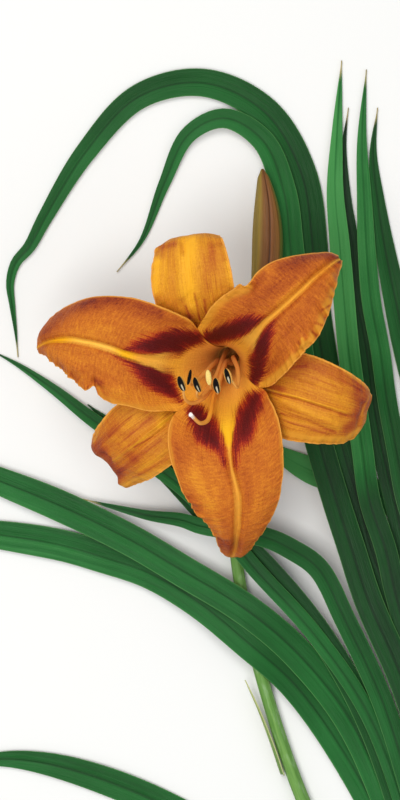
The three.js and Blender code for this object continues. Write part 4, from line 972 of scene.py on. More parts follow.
class Look:
    """A material made of nodes. A term of a sum, a place in a pattern, the factor of a mix and
    a ramp's value may be a pair of (value, factor). A mixed colour may be as seen."""

    def __init__(self, name, roughness, specular):
        self.material = bpy.data.materials.new(name)
        self.material.use_nodes = True
        self.tree = self.material.node_tree
        self.shader = self.tree.nodes["Principled BSDF"]
        self.shader.inputs["Roughness"].default_value = roughness
        self.shader.inputs["Specular IOR Level"].default_value = specular

    def node(self, kind, inputs=(), **settings):
        made = self.tree.nodes.new(kind)
        for key, value in settings.items():
            setattr(made, key, value)
        for key, value in dict(inputs).items():
            self.put(value, made.inputs[key])
        return made

    def put(self, value, socket):
        if isinstance(value, bpy.types.NodeSocket):
            self.tree.links.new(value, socket)
        else:
            socket.default_value = value

    def fields(self, *names):
        kind = "ShaderNodeAttribute"
        return [self.node(kind, attribute_name=name).outputs["Fac"] for name in names]

    def field(self, name):
        return self.fields(name)[0]

    def calc(self, operation, *values):
        made = self.node("ShaderNodeMath", operation=operation, inputs=dict(enumerate(values)))
        return made.outputs[0]

    def term(self, value):
        return self.calc("MULTIPLY", *value) if isinstance(value, tuple) else value

    def add(self, *terms):
        total = self.term(terms[0])
        for value in terms[1:]:
            total = self.calc("ADD", total, self.term(value))
        return total

    def step(self, value, low, high, bottom=0.0, top=1.0):
        made = self.node(
            "ShaderNodeMapRange", interpolation_type="SMOOTHSTEP",
            inputs={0: value, 1: low, 2: high, 3: bottom, 4: top})
        return made.outputs[0]

    def pattern(self, *places, detail=2.0, roughness=0.5):
        """Noise about 0, mostly between -0.5 and 0.5, over up to three places."""
        places = {i: self.term(place) for i, place in enumerate(places)}
        made = self.node("ShaderNodeTexNoise", inputs={
            "Vector": self.node("ShaderNodeCombineXYZ", inputs=places).outputs[0],
            "Scale": 1.0, "Detail": detail, "Roughness": roughness})
        return self.calc("SUBTRACT", made.outputs[0], 0.5)

    def round_pattern(self, scale, along, detail=3.0, roughness=0.5, start=0.0):
        """A pattern round a stalk and along its length."""
        x, y, length = self.fields("round_x", "round_y", "length")
        place = self.calc("MULTIPLY_ADD", length, along, start)
        return self.pattern((x, scale), (y, scale), place, detail=detail, roughness=roughness)

    def mix(self, factor, a, b, blend="MIX"):
        made = self.node("ShaderNodeMix", data_type="RGBA", blend_type=blend)
        self.put(self.term(factor), made.inputs[0])
        for colour, socket in ((a, 6), (b, 7)):
            self.put(srgb(*colour) if isinstance(colour, tuple) else colour, made.inputs[socket])
        return made.outputs[2]

    def ramp(self, value, tones):
        made = self.node("ShaderNodeValToRGB", inputs={0: self.term(value)})
        elements = made.color_ramp.elements
        while len(elements) < len(tones):
            elements.new(0.5)
        for element, (place, *colour) in zip(elements, tones):
            element.position = place
            element.color = srgb(*colour)
        return made.outputs[0]

    def finish(self, colour, height=None, distance=0.3, roughness=None):
        """Sets the colour, a bump from height in millimetres of distance, and the roughness."""
        self.put(colour, self.shader.inputs["Base Color"])
        if height is not None:
            bump = self.node("ShaderNodeBump", inputs={"Height": height})
            bump.inputs["Distance"].default_value = distance * MM
            self.put(bump.outputs[0], self.shader.inputs["Normal"])
        if roughness is not None:
            self.put(roughness, self.shader.inputs["Roughness"])
        return self.material


# ---------------------------------------------------------------- marks on the plan
def on_plan(points):
    """Where points of the plant are on the flower's plan."""
    x = PLAN_ORIGIN[0] + points[..., 0] / PLAN_UNIT
    y = PLAN_ORIGIN[1] - points[..., 1] / PLAN_UNIT
    return x, y


def line_distance(x, y, line, closed=False):
    """Distance from a line of points. Round a closed one it is below 0, and inside above 0."""
    points = np.array(line, float)
    ends = np.roll(points, -1, axis=0) if closed else points[1:]
    nearest = np.full_like(x, np.inf)
    inside = np.zeros(x.shape, bool)
    for (ax, ay), (bx, by) in zip(points, ends):
        dx, dy = bx - ax, by - ay
        along = np.clip(((x - ax) * dx + (y - ay) * dy) / (dx**2 + dy**2), 0, 1)
        nearest = np.minimum(nearest, np.hypot(x - ax - along * dx, y - ay - along * dy))
        if closed and dy != 0:
            inside ^= ((ay > y) != (by > y)) & (x < ax + (y - ay) / dy * dx)
    return np.where(inside, nearest, -nearest) if closed else nearest


def strokes(x, y, marks, amount=2):
    """The sum of soft strokes, each with its points, half width and one or two amounts."""
    total = np.zeros_like(x)
    for mark in marks:
        total += mark[amount] * bell(line_distance(x, y, mark[0]), mark[1])
    return total


# ---------------------------------------------------------------- tepals
TEPAL_STATIONS = 230
TEPAL_COLUMNS = 91
FLESH = 0.45  # thickness of a tepal
# Deep in the throat a petal's edges are wider by so many degrees, to lap its neighbours, and
# the other edge is tucked under. fades: where this runs out, by distance from the axis.
LAPS = {"first": 1.5, "other": 5.5, "fades": (16, 25)}
TUCK = {"depth": 0.7, "fades": (18, 26)}
# where the relief of a tepal's face sets in, from the axis and from its tip
RELIEF_STARTS = {"axis": (18, 32), "tip": (0, 9)}
CRIMP_LENGTHS = (9.5, 6.3, 4.1)
FRILL_LENGTHS = (2.9, 1.9)
RUFFLE_DEPTH = 4.5  # how far crimps reach in from the edge
FRILL_DEPTH = 2.2  # the same for frills
# the groove of a petal's midrib, and the shoulders that stand up beside it
MIDRIB = {"depth": 1.1, "width": 1.6, "shoulder": 0.35, "beside": 2.9, "shoulderWidth": 1.3}
PUCKER = 0.14  # height of the puckers between the veins


def tepal_line(rows, column, t):
    """One lengthwise line of a tepal's rows: 2 the first edge, 3 the midrib, 4 the other edge."""
    rows = np.asarray(rows, float)
    angle = np.radians(rows[:, column])
    line = [rows[:, 0] * np.cos(angle), rows[:, 0] * np.sin(angle), rows[:, 1]]
    return smooth_line(np.column_stack(line), t)


def tepal_places(rows):
    """Places along the rows, between equal steps of the rows and of the midrib's length."""
    fine = np.linspace(0, 1, 60 * len(rows))
    run = run_along(tepal_line(rows, 3, fine))
    steps = np.linspace(0, 1, TEPAL_STATIONS)
    return (steps + np.interp(steps * run[-1], run, fine)) / 2


def tepal_grid(rows, t, v):
    """The tepal's face in the flower's frame, t along it and v across from edge to edge."""
    lines = [tepal_line(rows, column, t) for column in (2, 3, 4)]
    turn = [np.arctan2(p[:, 1], p[:, 0]) for p in lines]
    turn = [a + 2 * np.pi * np.round((turn[1] - a) / (2 * np.pi)) for a in turn]
    reach = np.abs(v)

    def across(start, centre, end):
        side = np.where(v < 0, start[:, None], end[:, None])
        return centre[:, None] * (1 - reach) + side * reach

    angle = across(*turn)
    radius = across(*(np.hypot(p[:, 0], p[:, 1]) for p in lines))
    height = across(*(p[:, 2] for p in lines))
    return np.stack([radius * np.cos(angle), radius * np.sin(angle), height], axis=2)


def edge_distance(grid, v):
    """Millimetres from the midrib, signed as v, and from the nearer edge and the tip."""
    step = np.linalg.norm(np.diff(grid, axis=1), axis=2)
    run = np.concatenate([np.zeros((len(grid), 1)), np.cumsum(step, axis=1)], axis=1)
    middle = np.argmin(np.abs(v))
    from_mid = run - run[:, middle : middle + 1]
    edge = np.minimum(run, run[:, -1:] - run)
    to_tip = np.linalg.norm(grid - grid[-1:, middle : middle + 1], axis=2)
    return from_mid, edge, to_tip


def lapped(rows):
    """A petal's rows with its edges lapping its neighbours' deep in the throat."""
    rows = np.array(rows, float)
    deep = 1 - smoothstep(rows[:, 0], *LAPS["fades"])
    rows[:, 2] -= LAPS["first"] * deep
    rows[:, 4] += LAPS["other"] * deep
    return rows


def build_tepal(name, look):
    detail = TEPAL_DETAIL[name]
    kind = name.split("_")[0]
    petal = kind == "petal"
    rows = lapped(TEPALS[name]) if petal else TEPALS[name]
    v = spread(TEPAL_COLUMNS)
    flat = tepal_grid(rows, tepal_places(rows), v)
    normal = grid_normals(flat)
    from_mid, from_edge, to_tip = edge_distance(flat, v)
    length = run_along(flat[:, TEPAL_COLUMNS // 2])[:, None]
    rho = np.hypot(flat[..., 0], flat[..., 1])
    reach = np.abs(v)
    x, y = on_plan(from_flower(flat))

    axis, tip = RELIEF_STARTS["axis"], RELIEF_STARTS["tip"]
    whole = smoothstep(rho, *axis) * smoothstep(to_tip, *tip)
    lift = strokes(x, y, detail["folds"])
    if petal:
        tuck = TUCK["depth"] * (1 - smoothstep(rho, *TUCK["fades"]))
        lift -= tuck * (v > 0) * reach**3
        lift += detail["arch"] * np.sin(np.pi * reach**0.8) * whole
        lift -= MIDRIB["depth"] * bell(from_mid, MIDRIB["width"]) * whole
        from_shoulder = np.abs(from_mid) - MIDRIB["beside"]
        lift += MIDRIB["shoulder"] * bell(from_shoulder, MIDRIB["shoulderWidth"]) * whole
    else:
        lift += detail["arch"] * (1 - reach**2) * whole
    fall, crest = np.zeros_like(lift), np.zeros_like(lift)
    for side, half in enumerate((v < 0, v > 0)):
        edge_rho, edge_run = rho[:, -side], run_along(flat[:, -side])
        seed = detail["seed"] + side
        fall += half * reach**2 * knots(edge_rho, detail["fall"][side])[:, None]
        crimp = knots(edge_rho, detail["crimp"][side]) * wave(edge_run, CRIMP_LENGTHS, seed)
        frill = knots(edge_rho, detail["frill"][side]) * wave(edge_run, FRILL_LENGTHS, seed + 5)
        crest += half * np.exp(-from_edge / RUFFLE_DEPTH) * crimp[:, None]
        crest += half * 0.5 * np.exp(-from_edge / FRILL_DEPTH) * frill[:, None]
    pucker = wave(3 * from_mid + 2 * length, (31, 17), detail["seed"] + 20)
    pucker = pucker * wave(length, (9, 5.3), detail["seed"] + 21)
    lift += crest + PUCKER * pucker * whole
    face = flat + normal * lift[..., None]
    face[..., 2] += fall
    face[..., :2] += unit(flat[..., :2]) * strokes(x, y, detail.get("juts", ()))[..., None]
    back = face - grid_normals(face) * FLESH

    # short strokes across the ruffled edge paint shade in its creases; the golden strokes also
    # paint light on lit folds and rolled edges
    crease_shades = detail.get("crease_shades", ())
    tone = strokes(x, y, detail["tones"]) + strokes(x, y, crease_shades)
    gold_and_light = strokes(x, y, detail["gold_and_light"]) + strokes(x, y, crease_shades, 3)
    fields = {
        "across": v, "rho": rho, "from_mid": from_mid, "length": length,
        "from_edge": np.minimum(from_edge, to_tip + 0.3),
        # painted shade in the ruffles' valleys and painted light on their crests
        "tone": tone - 0.14 * crest, "gold_and_light": gold_and_light + 0.2 * crest,
    }
    if petal:
        zones = [line_distance(x, y, outline, closed=True) for outline in detail["eye"]]
        fields["eye"] = np.maximum(*zones) * PLAN_UNIT
        fields["from_rib"] = np.abs(from_mid) - knots(rho, detail["rib"])
        fields["rib_tone"] = knots(rho, detail["rib_tone"])
    sheet_body(name, from_flower(face), from_flower(back), fields, look)


def skin(look, veins):
    """The tepals' shared texture: broad, plain and fine veins, grain, wrinkles across, clouds."""
    across, length, from_mid = look.fields("across", "length", "from_mid")
    broad, plain, fine = (
        look.pattern((across, scale * veins), (length, step), detail=detail)
        for scale, step, detail in ((7, 0.02, 3), (30, 0.035, 2), (80, 0.1, 2)))
    grain = look.pattern((from_mid, 1.7), (length, 1.4), detail=4, roughness=0.7)
    crease = look.pattern((from_mid, 0.3), (length, 1.2), detail=3, roughness=0.6)
    cloud = look.pattern((from_mid, 0.1), (length, 0.08), detail=3)
    return broad, plain, fine, grain, crease, cloud


def finish_tepal(look, colour, back_colour, amount, patterns, relief, distance):
    """The paler back, with the tube's colour near its foot, the relief and the roughness."""
    _, vein, fine, grain, crease, _ = patterns
    back = look.field("behind")
    near = look.step(look.add(look.field("rho"), (vein, 14)), 6, 24, 1, 0)
    colour = look.mix((back, amount), colour, back_colour)
    colour = look.mix(look.calc("MULTIPLY", back, near), colour, TUBE_TOP)
    height = look.add(*zip((vein, fine, grain, crease), relief))
    return look.finish(colour, height, distance, look.calc("MULTIPLY_ADD", grain, 0.3, 0.55))


def petal_look():
    look = Look("petal", roughness=0.55, specular=0.2)
    rho, from_edge, eye, tone_marks_and_shading = look.fields("rho", "from_edge", "eye", "tone")
    patterns = skin(look, 1)
    _, vein, fine, grain, crease, cloud = patterns
    # the tone strokes: the tepal's own red and yellow marks, with painted shade and light on its
    # folds, ruffles and creases
    tone = look.add(tone_marks_and_shading, 0.44, *zip(patterns, (0.14, 0.16, 0.22, 0.85, 0.75, 0.32)))
    gold_and_light = look.add(look.field("gold_and_light"), (crease, 0.5), (grain, 0.4))
    colour = look.mix(look.step(gold_and_light, 0.1, 0.9, 0, 0.85), look.ramp(tone, PETAL_TONES), GOLD)
    specks = look.step(look.add(grain, (crease, 0.3)), 0.2, 0.3, 0, 0.5)
    colour = look.mix(specks, colour, GOLD)
    # painted rim light: a thin bright rim along the edge, away from the throat
    rim = look.step(look.add(from_edge, (vein, 0.8)), 0.25, 0.85, 0.75, 0)
    colour = look.mix(look.calc("MULTIPLY", rim, look.step(rho, 23, 28)), colour, RIM_LIGHT)
    # the throat, its colours lightened deep inside as painted light against its shade
    lines = look.step(look.add(vein, fine), 0.02, 0.3, 0, 0.5)
    funnel = look.mix(lines, look.ramp((rho, 0.01), LIT_THROAT_TONES), THROAT_VEINS)
    mouth = look.add(rho, (vein, 6), (cloud, 6))
    colour = look.mix(look.step(mouth, 14, 27, 0.9, 0), colour, funnel)
    # the eye, feathered along the veins, and fainter on the back
    stain = look.add(eye, 0.35, (vein, 3.6), (fine, 5.5), (grain, 3))
    depth = look.add(stain, (cloud, 6), (grain, 4), (tone_marks_and_shading, 8))
    strength = look.calc("MULTIPLY_ADD", look.field("behind"), -0.75, 1)
    dark = look.ramp(look.step(depth, -0.9, 4.4), EYE_TONES)
    colour = look.mix(look.step(stain, -1.7, 1.1, 0, strength), colour, dark)
    # yellow midrib, widening into the throat
    out = look.add(look.field("from_rib"), (vein, 1.2), fine, (grain, 0.6))
    stripe = look.calc("MULTIPLY", look.step(out, -0.9, 0.8, 0.85, 0), look.step(rho, 15, 25))
    rib = look.ramp(look.add(look.field("rib_tone"), (vein, 0.15)), RIB_TONES)
    colour = look.mix(stripe, colour, rib)
    return finish_tepal(look, colour, PETAL_BACK, 0.45, patterns, (0.3, 0.2, 0.6, 0.5), 0.7)


def sepal_look():
    look = Look("sepal", roughness=0.55, specular=0.2)
    rho, from_edge = look.fields("rho", "from_edge")
    patterns = skin(look, 0.7)
    _, vein, _, grain, _, _ = patterns
    # the tone strokes: the sepal's own red and yellow marks, with painted shade and light on its
    # folds, ridges and ends
    tone = look.add(look.field("tone"), 0.42, *zip(patterns, (0.2, 0.28, 0.45, 0.6, 0.2, 0.25)))
    gold_and_light = look.add(look.field("gold_and_light"), (vein, 0.4), (grain, 0.3))
    colour = look.mix(look.step(gold_and_light, 0.1, 0.9, 0, 0.85), look.ramp(tone, SEPAL_TONES), GOLD)
    # painted rim light: a thin bright rim along the edge
    rim = look.step(look.add(from_edge, (vein, 0.8)), 0.3, 1.0, 0.85, 0)
    colour = look.mix(rim, colour, RIM_LIGHT)
    # deep in the throat the colours are lightened as painted light against its shade
    deep = look.ramp((rho, 0.01), LIT_THROAT_TONES)
    colour = look.mix(look.step(rho, 9, 17, 1, 0), colour, deep)
    return finish_tepal(look, colour, SEPAL_BACK, 0.4, patterns, (0.7, 0.35, 0.3, 0.15), 0.55)


# ---------------------------------------------------------------- stamens and pistil
def on_wall(angle, place):
    """A point of the flower's wall at an angle, from its radius and height."""
    a = np.radians(angle)
    return [place["radius"] * np.cos(a), place["radius"] * np.sin(a), place["height"]]


def build_filament(number, stamen, look):
    root, mouth = (on_wall(stamen["root"], FILAMENT[key]) for key in ("root", "mouth"))
    tip = np.array(stamen["anther"]) - [0, 0, ANTHER["standoff"] + GAP]
    thick, thin = FILAMENT["radius"], FILAMENT["tipRadius"]
    taper = [(0, thick + 0.45), (0.6, thick + 0.3), (1, thin)]

    def radius(t, turn):
        return knots(t, taper) * round_ends(t) * (1 + 0.06 * np.cos(3 * turn + 5 * t))

    route = [root, mouth, *stamen["path"], tip]
    vertices, faces, fields = round_body(route, FINENESS["filament"], radius)
    body(f"filament_{number}", from_flower(vertices), faces, fields, look)


def build_anther(number, stamen, look):
    """Two lobes side by side, each split along its face."""
    half = (ANTHER["length"] / 2 + ANTHER["radius"]) * ANTHER_STRETCH
    axis = unit(np.array(stamen["lies"], float))
    side = unit(np.cross(axis, [0, 0, 1]))
    up = np.cross(side, axis)
    width, depth = stamen["width"], 0.78
    count, sides = FINENESS["anther"]
    q = np.linspace(-1, 1, count)
    bend = stamen["bend"] * (q**2 - 0.4)[:, None] * np.array([1, 0, 0])
    middle = half * q[:, None] * axis + bend
    along, turn = np.meshgrid(q, circle(sides), indexing="ij")
    profile = np.sqrt(np.maximum(1 - np.abs(along) ** 2.2, 0.002))
    lobe = 1 - 0.4 * bell(turned(turn, np.pi / 2), 0.33)
    lobe -= 0.3 * bell(turned(turn, -np.pi / 2), 0.4)
    lobe -= 0.1 * bell(turned(turn), 0.2) + 0.1 * bell(turned(turn, np.pi), 0.2)
    grain = wave(9 * turn, (2.1, 3.3), number) * wave(6 * along, (1.1, 0.7), number + 7)
    radius = (ANTHER["radius"] * profile * (lobe + 0.02 * grain))[..., None]
    ring = width * np.cos(turn)[..., None] * side + depth * np.sin(turn)[..., None] * up
    vertices = ring_points(middle[:, None] + radius * ring, middle[0], middle[-1])
    groove = bell(turned(turn, np.pi / 2), 0.42) * smoothstep(-along, -0.4, 0.3)
    fields = {
        "turn": capped(turn / (2 * np.pi)),
        "along": capped(along * 0.5 + 0.5, 0, 1),
        "groove": capped(groove * width),
        "pale": np.full(len(vertices), stamen["pale"]),
        "rim": capped(stamen["rim"] * np.abs(np.cos(turn)) ** 1.6),
    }
    place = from_flower(vertices + stamen["anther"])
    body(f"anther_{number}", place, ring_faces(*turn.shape), fields, look)


def build_pistil(look):
    close = 0.012
    thick, (neck, waist) = PISTIL["ovary"], PISTIL["neck"]
    taper = [
        (0, thick), (neck, thick), (waist, 0.75), (0.5, 0.8), (0.8, 0.95), (0.955, 0.75),
        (0.975, 0.75), (0.99, 0.95), (1, 0.9),
    ]

    def radius(t, turn):
        stigma = 0.14 * smoothstep(t, 0.965, 0.99)
        ovary = 0.1 * (1 - smoothstep(t, 0.05, 0.09))
        lobes = (1 + stigma * np.cos(3 * turn)) * (1 + ovary * np.cos(3 * turn))
        return knots(t, taper) * round_ends(t, close) * lobes

    vertices, faces, fields = round_body(PISTIL["path"], FINENESS["pistil"], radius, close)
    body("pistil", from_flower(vertices), faces, fields, look)


def filament_look():
    look = Look("filament", roughness=0.42, specular=0.4)
    streak = look.round_pattern(2.5, 0.12)
    colour = look.ramp(look.add(look.field("along"), (streak, 0.5)), FILAMENT_TONES)
    return look.finish(colour, streak, 0.2)


def pistil_look():
    look = Look("pistil", roughness=0.42, specular=0.4)
    streak, grain = look.round_pattern(2.5, 0.12), look.round_pattern(3, 6)
    colour = look.ramp(look.add(look.field("along"), (streak, 0.05)), PISTIL_TONES)
    return look.finish(colour, look.add((streak, 0.6), (grain, 0.5)), 0.2)


def anther_look():
    look = Look("anther", roughness=0.8, specular=0.15)
    turn, along = look.fields("turn", "along")
    grain = look.pattern((turn, 26), (along, 16), detail=4, roughness=0.7)
    coarse = look.pattern((turn, 9), (along, 6))
    dark = look.ramp(look.add((grain, 0.9), (coarse, 0.4), 0.4), SAC_TONES)
    # the pale groove: pollen in the split, with a painted highlight
    groove = look.add(look.field("groove"), (coarse, 0.6), (grain, 0.3))
    colour = look.mix(look.step(groove, 0.5, 0.95), dark, SAC_GROOVE_POLLEN_AND_HIGHLIGHT)
    rim = look.add(look.field("rim"), (grain, 0.4))
    colour = look.mix(look.step(rim, 0.45, 0.8), colour, SAC_RIM)
    pollen = look.ramp(look.add((grain, 0.8), 0.5), POLLEN_TONES)
    colour = look.mix(look.field("pale"), colour, pollen)
    return look.finish(colour, look.add(grain, (coarse, 0.5)), 0.25)


# ---------------------------------------------------------------- flower tube
# radius and height of the tube's wall, from its foot to its rim, and of the throat's floor
# inside it, which closes round the stamens
TUBE_WALL = [
    (0.05, -TUBE_LENGTH), (1.7, -TUBE_LENGTH), (2, -25.8), (2.25, -25.1), (2.55, -24),
    (2.85, -22.3), (3.1, -20), (3.4, -16), (3.75, -12), (4.2, -8), (4.75, -5.4), (5.4, -3),
    (6, -1.3), (6.45, 0), (6.3, 0.25), (4.6, 0.25),
]
TUBE_FLOOR = [
    (4.35, 0), (4.3, -0.6), (4.1, -1.2), (3.6, -2.4), (2.8, -3.8), (1.6, -5.2), (0.6, -6),
    (0.05, -6.3),
]
TUBE_SIDES = 60
NARROW_RIM = 4.9  # radius of the rim between the sepals


def build_tube(look):
    outline = np.array(TUBE_WALL + TUBE_FLOOR)
    inside = np.repeat([[0], [1]], [len(TUBE_WALL), len(TUBE_FLOOR)], axis=0)
    turn, height = np.broadcast_arrays(circle(TUBE_SIDES), outline[:, 1:])
    # towards the rim it narrows to the petals where no sepal covers it
    cover = 0
    for name in ("sepal_top", "sepal_right", "sepal_left"):
        edge, middle, other = np.radians(TEPALS[name][0][2:])
        half = (other - edge) / 2
        off = np.abs(turned(turn, middle))
        cover = cover + 1 - smoothstep(off, half - 0.1, half + 0.12)
    radius = outline[:, :1]
    bare = (1 - inside) * smoothstep(height, -9, 0) * (1 - cover)
    radius = radius - (radius - NARROW_RIM).clip(0) * bare
    grid = np.stack([radius * np.cos(turn), radius * np.sin(turn), height], axis=2)
    fields = {
        "along": capped((height + TUBE_LENGTH) / TUBE_LENGTH, 0, 1.3),
        "round_x": capped(np.cos(turn)),
        "round_y": capped(np.sin(turn)),
        "length": capped(height),
        "inside": capped(inside + 0 * turn, 0, 1),
    }
    vertices = ring_points(grid, [0, 0, -TUBE_LENGTH], [0, 0, TUBE_FLOOR[-1][1]])
    faces = ring_faces(*turn.shape)
    body("perianth_tube", from_flower(vertices), faces, fields, look)


def tube_look():
    look = Look("tube", roughness=0.5, specular=0.35)
    streak = look.round_pattern(5, 0.06)
    colour = look.ramp(look.add(look.field("along"), (streak, 0.5)), TUBE_TONES)
    return look.finish(look.mix(look.field("inside"), colour, TUBE_INSIDE), streak, 0.3)


# ---------------------------------------------------------------- leaves
LEAF_STEP = 2.6  # between places along a leaf
LEAF_COLUMNS = 15  # places across it
BRACT_GRID = (50, 21)


def blade_grid(route, t, half_width, slope, up, columns, arch):
    """A ribbon's middle surface along a route, its places across from 1 to -1, and the
    distances from its middle. slope and arch: how it is folded and rounded across."""
    points, _ = even_line(route, t)
    tangent = unit(np.gradient(points, axis=0))
    across = unit(np.cross(tangent, np.asarray(up, float)))
    normal = unit(np.cross(across, tangent))
    v = spread(columns)[::-1]
    half = half_width[:, None]
    keel = np.sqrt(v**2 + 0.0016) - 0.04
    lift = keel * half * slope + arch * half * np.sin(np.pi * np.abs(v))
    from_mid = v * half
    grid = points[:, None] - across[:, None] * from_mid[..., None]
    return grid + normal[:, None] * lift[..., None], v, from_mid


def build_leaf(name, leaf, number, look):
    x, z = leaf["from"]
    route = [(x, LEAF_START, z), (x, LEAF_START + LEAF["straight"], z)]
    route += [(*point, ON_FLOOR)[:3] for point in leaf["route"]]
    _, length = even_line(route, [0, 1])
    t = np.linspace(0, 1, int(length / LEAF_STEP))
    run, to_tip = t * length, (1 - t) * length
    base, opens = LEAF["baseWidth"], LEAF["opens"]
    opened = base + (leaf["width"] - base) * np.minimum(1, t / opens)
    narrow = 1 - (1 - np.minimum(1, to_tip / leaf["tip"])) ** 2
    half_width = np.maximum(LEAF["point"], opened * narrow) / 2
    slope = np.tan(np.radians(LEAF["foldAngle"])) * smoothstep(t, *LEAF["folds"])[:, None]
    middle, v, from_mid = blade_grid(
        route, t, half_width, slope, [0, 0, 1], LEAF_COLUMNS, arch=0.04)
    normal = grid_normals(middle)
    sway = 0.1 * wave(run[:, None], (47, 29), number) * v * smoothstep(t, 0.4, 0.7)[:, None]
    middle = middle + normal * sway[..., None]
    thick = LEAF["thickness"] / 2 * (1 - 0.5 * np.abs(v) ** 4)
    keel = 0.125 * bell(v, 0.12) * smoothstep(t, 0.02, 0.1)[:, None]
    front = middle + normal * thick[:, None]
    back = middle - normal * (thick + keel)[..., None]
    fields = {
        "from_mid": from_mid, "across": v, "length": run[:, None],
        "to_tip": (to_tip + 20 * (name in GREEN_TIPS))[:, None],
        "tone": knots(t, leaf["tone"])[:, None],
        "seed": number * 7.3,
    }
    sheet_body(name, front, back, fields, look)


def leaf_look():
    look = Look("leaf", roughness=0.5, specular=0.2)
    from_mid, length, across, seed = look.fields("from_mid", "length", "across", "seed")
    line, vein, fine, grain, cloud = (
        look.pattern((from_mid, scale), (length, step), seed, detail=detail)
        for scale, step, detail in (
            (0.75, 0.004, 2), (2.6, 0.012, 2), (7, 0.05, 2), (3, 1.4, 3), (0.05, 0.02, 3)))
    # painted shade: a darker line along the keel's fold, and one half of the blade painted lighter
    # than the other, as light on one side of the fold
    keel = look.step(look.calc("ABSOLUTE", look.add(from_mid, (fine, 0.3))), 0.1, 0.8, 1, 0)
    shade = look.step(from_mid, -0.3, 1.4)
    tone = look.add(
        look.field("tone"), (line, 0.26), (vein, 0.16), (fine, 0.14), (grain, 0.1),
        (cloud, 0.45), (keel, -0.16), (shade, 0.08), (look.field("behind"), 0.1))
    colour = look.ramp(tone, LEAF_TONES)
    # pale foot, and a dry brown point
    foot = look.add(length, (line, 26), (vein, 14))
    pale = look.ramp(look.step(foot, 0, 70), LEAF_FOOT_TONES)
    colour = look.mix(look.step(foot, 8, 90, 0.95, 0), colour, pale)
    dry = look.add(look.field("to_tip"), (vein, 9), (grain, 5))
    colour = look.mix(look.step(dry, 2, 9, 0.85, 0), colour, DRY_LEAF)
    edge = look.step(look.calc("ABSOLUTE", across), 0.93, 0.99, 0, 0.35)
    colour = look.mix(edge, colour, LEAF_EDGE)
    height = look.add((vein, 0.5), (fine, 0.3), (line, 0.3), (grain, 0.15))
    return look.finish(colour, height, 0.4, look.calc("MULTIPLY_ADD", vein, 0.2, 0.48))


# ---------------------------------------------------------------- scape, stalks and bracts
def build_stalk(name, route, radii, look, fineness):
    def radius(t, turn):
        size = radii[0] + (radii[1] - radii[0]) * t
        ridges = 0.025 * np.cos(5 * turn + 2 * t) + 0.02 * np.cos(9 * turn - 3 * t)
        return size * (0.55 + 0.45 * round_ends(t, 0.008)) * (1 + ridges) / 1.05

    vertices, faces, fields = round_body(route, fineness, radius, 0.01)
    body(name, vertices, faces, fields, look)


def stalk_look():
    look = Look("stalk", roughness=0.55, specular=0.35)
    streak = look.round_pattern(4, 0.02)
    fine = look.round_pattern(14, 0.08, detail=2)
    bloom = look.round_pattern(1.2, 0.09, detail=4, roughness=0.65)
    colour = look.ramp(look.add(0.45, (streak, 0.5), (fine, 0.3), (bloom, 0.2)), STALK_TONES)
    colour = look.mix(look.step(bloom, 0.02, 0.22, 0, 0.35), colour, STALK_BLOOM)
    return look.finish(colour, look.add(streak, (fine, 0.5)), 0.35)


def build_bract(name, bract, look):
    rows, columns = BRACT_GRID
    t = np.linspace(0, 1, rows)
    half_width = np.maximum(BRACT["point"], bract["width"] / 2 * (1 - t ** BRACT["taper"]))
    middle, v, from_mid = blade_grid(
        bract["route"], t, half_width, BRACT["fold"], bract["faces"], columns, arch=0.08)
    half = grid_normals(middle) * BRACT["thickness"] / 2
    fields = {"from_mid": from_mid, "across": v, "along": t[:, None]}
    sheet_body(name, middle + half, middle - half, fields, look)


def bract_look():
    look = Look("bract", roughness=0.55, specular=0.3)
    from_mid, along, across = look.fields("from_mid", "along", "across")
    vein = look.pattern((from_mid, 2.4), (along, 1.2), detail=3)
    fine = look.pattern((from_mid, 8), (along, 4))
    colour = look.ramp(look.add((along, 0.5), 0.25, (vein, 0.6), (fine, 0.2)), BRACT_TONES)
    outward = look.add(look.calc("ABSOLUTE", across), (vein, 0.2))
    colour = look.mix(look.step(outward, 0.75, 1, 0, 0.6), colour, BRACT_EDGE)
    return look.finish(colour, look.add(vein, (fine, 0.5)), 0.3)


# ---------------------------------------------------------------- buds
BUD_TWIST = 0.25  # how far the seams turn from the foot to the tip, in radians


def build_bud(name, bud, look, number):
    low, high = BUD_OUTLINE["arc"]

    def radius(t, turn):
        belly = np.sin(np.pi * (low + (high - low) * t)) ** BUD_OUTLINE["fullness"]
        size = BUD_OUTLINE["foot"] + (1 - BUD_OUTLINE["foot"]) * belly
        size = size * (1 - BUD_OUTLINE["tipCut"] * t ** BUD_OUTLINE["blunt"])
        size = size * (0.6 + 0.4 * smoothstep(t, 0, 0.13)) * (1 - 0.5 * smoothstep(t, 0.94, 1))
        places = (np.radians(seam) + BUD_TWIST * t for seam in BUD_SEAMS)
        seams = sum(bell(turned(turn, place), 0.09) for place in places)
        ribs = 0.018 * np.cos(9 * turn + 2 * t) + 0.012 * np.cos(17 * turn)
        ends = 0.3 + 0.7 * round_ends(t, 0.015)
        return bud["radius"] * size * (1 + ribs - 0.11 * seams) * ends / 1.03

    vertices, faces, fields = round_body(bud["route"], FINENESS["bud"], radius, 0.02)
    fields["seed"] = np.full(len(vertices), number * 3.7)
    fields["turn"] = (fields["turn"] - BUD_TWIST * fields["along"] / (2 * np.pi)) % 1
    body(name, vertices, faces, fields, look)


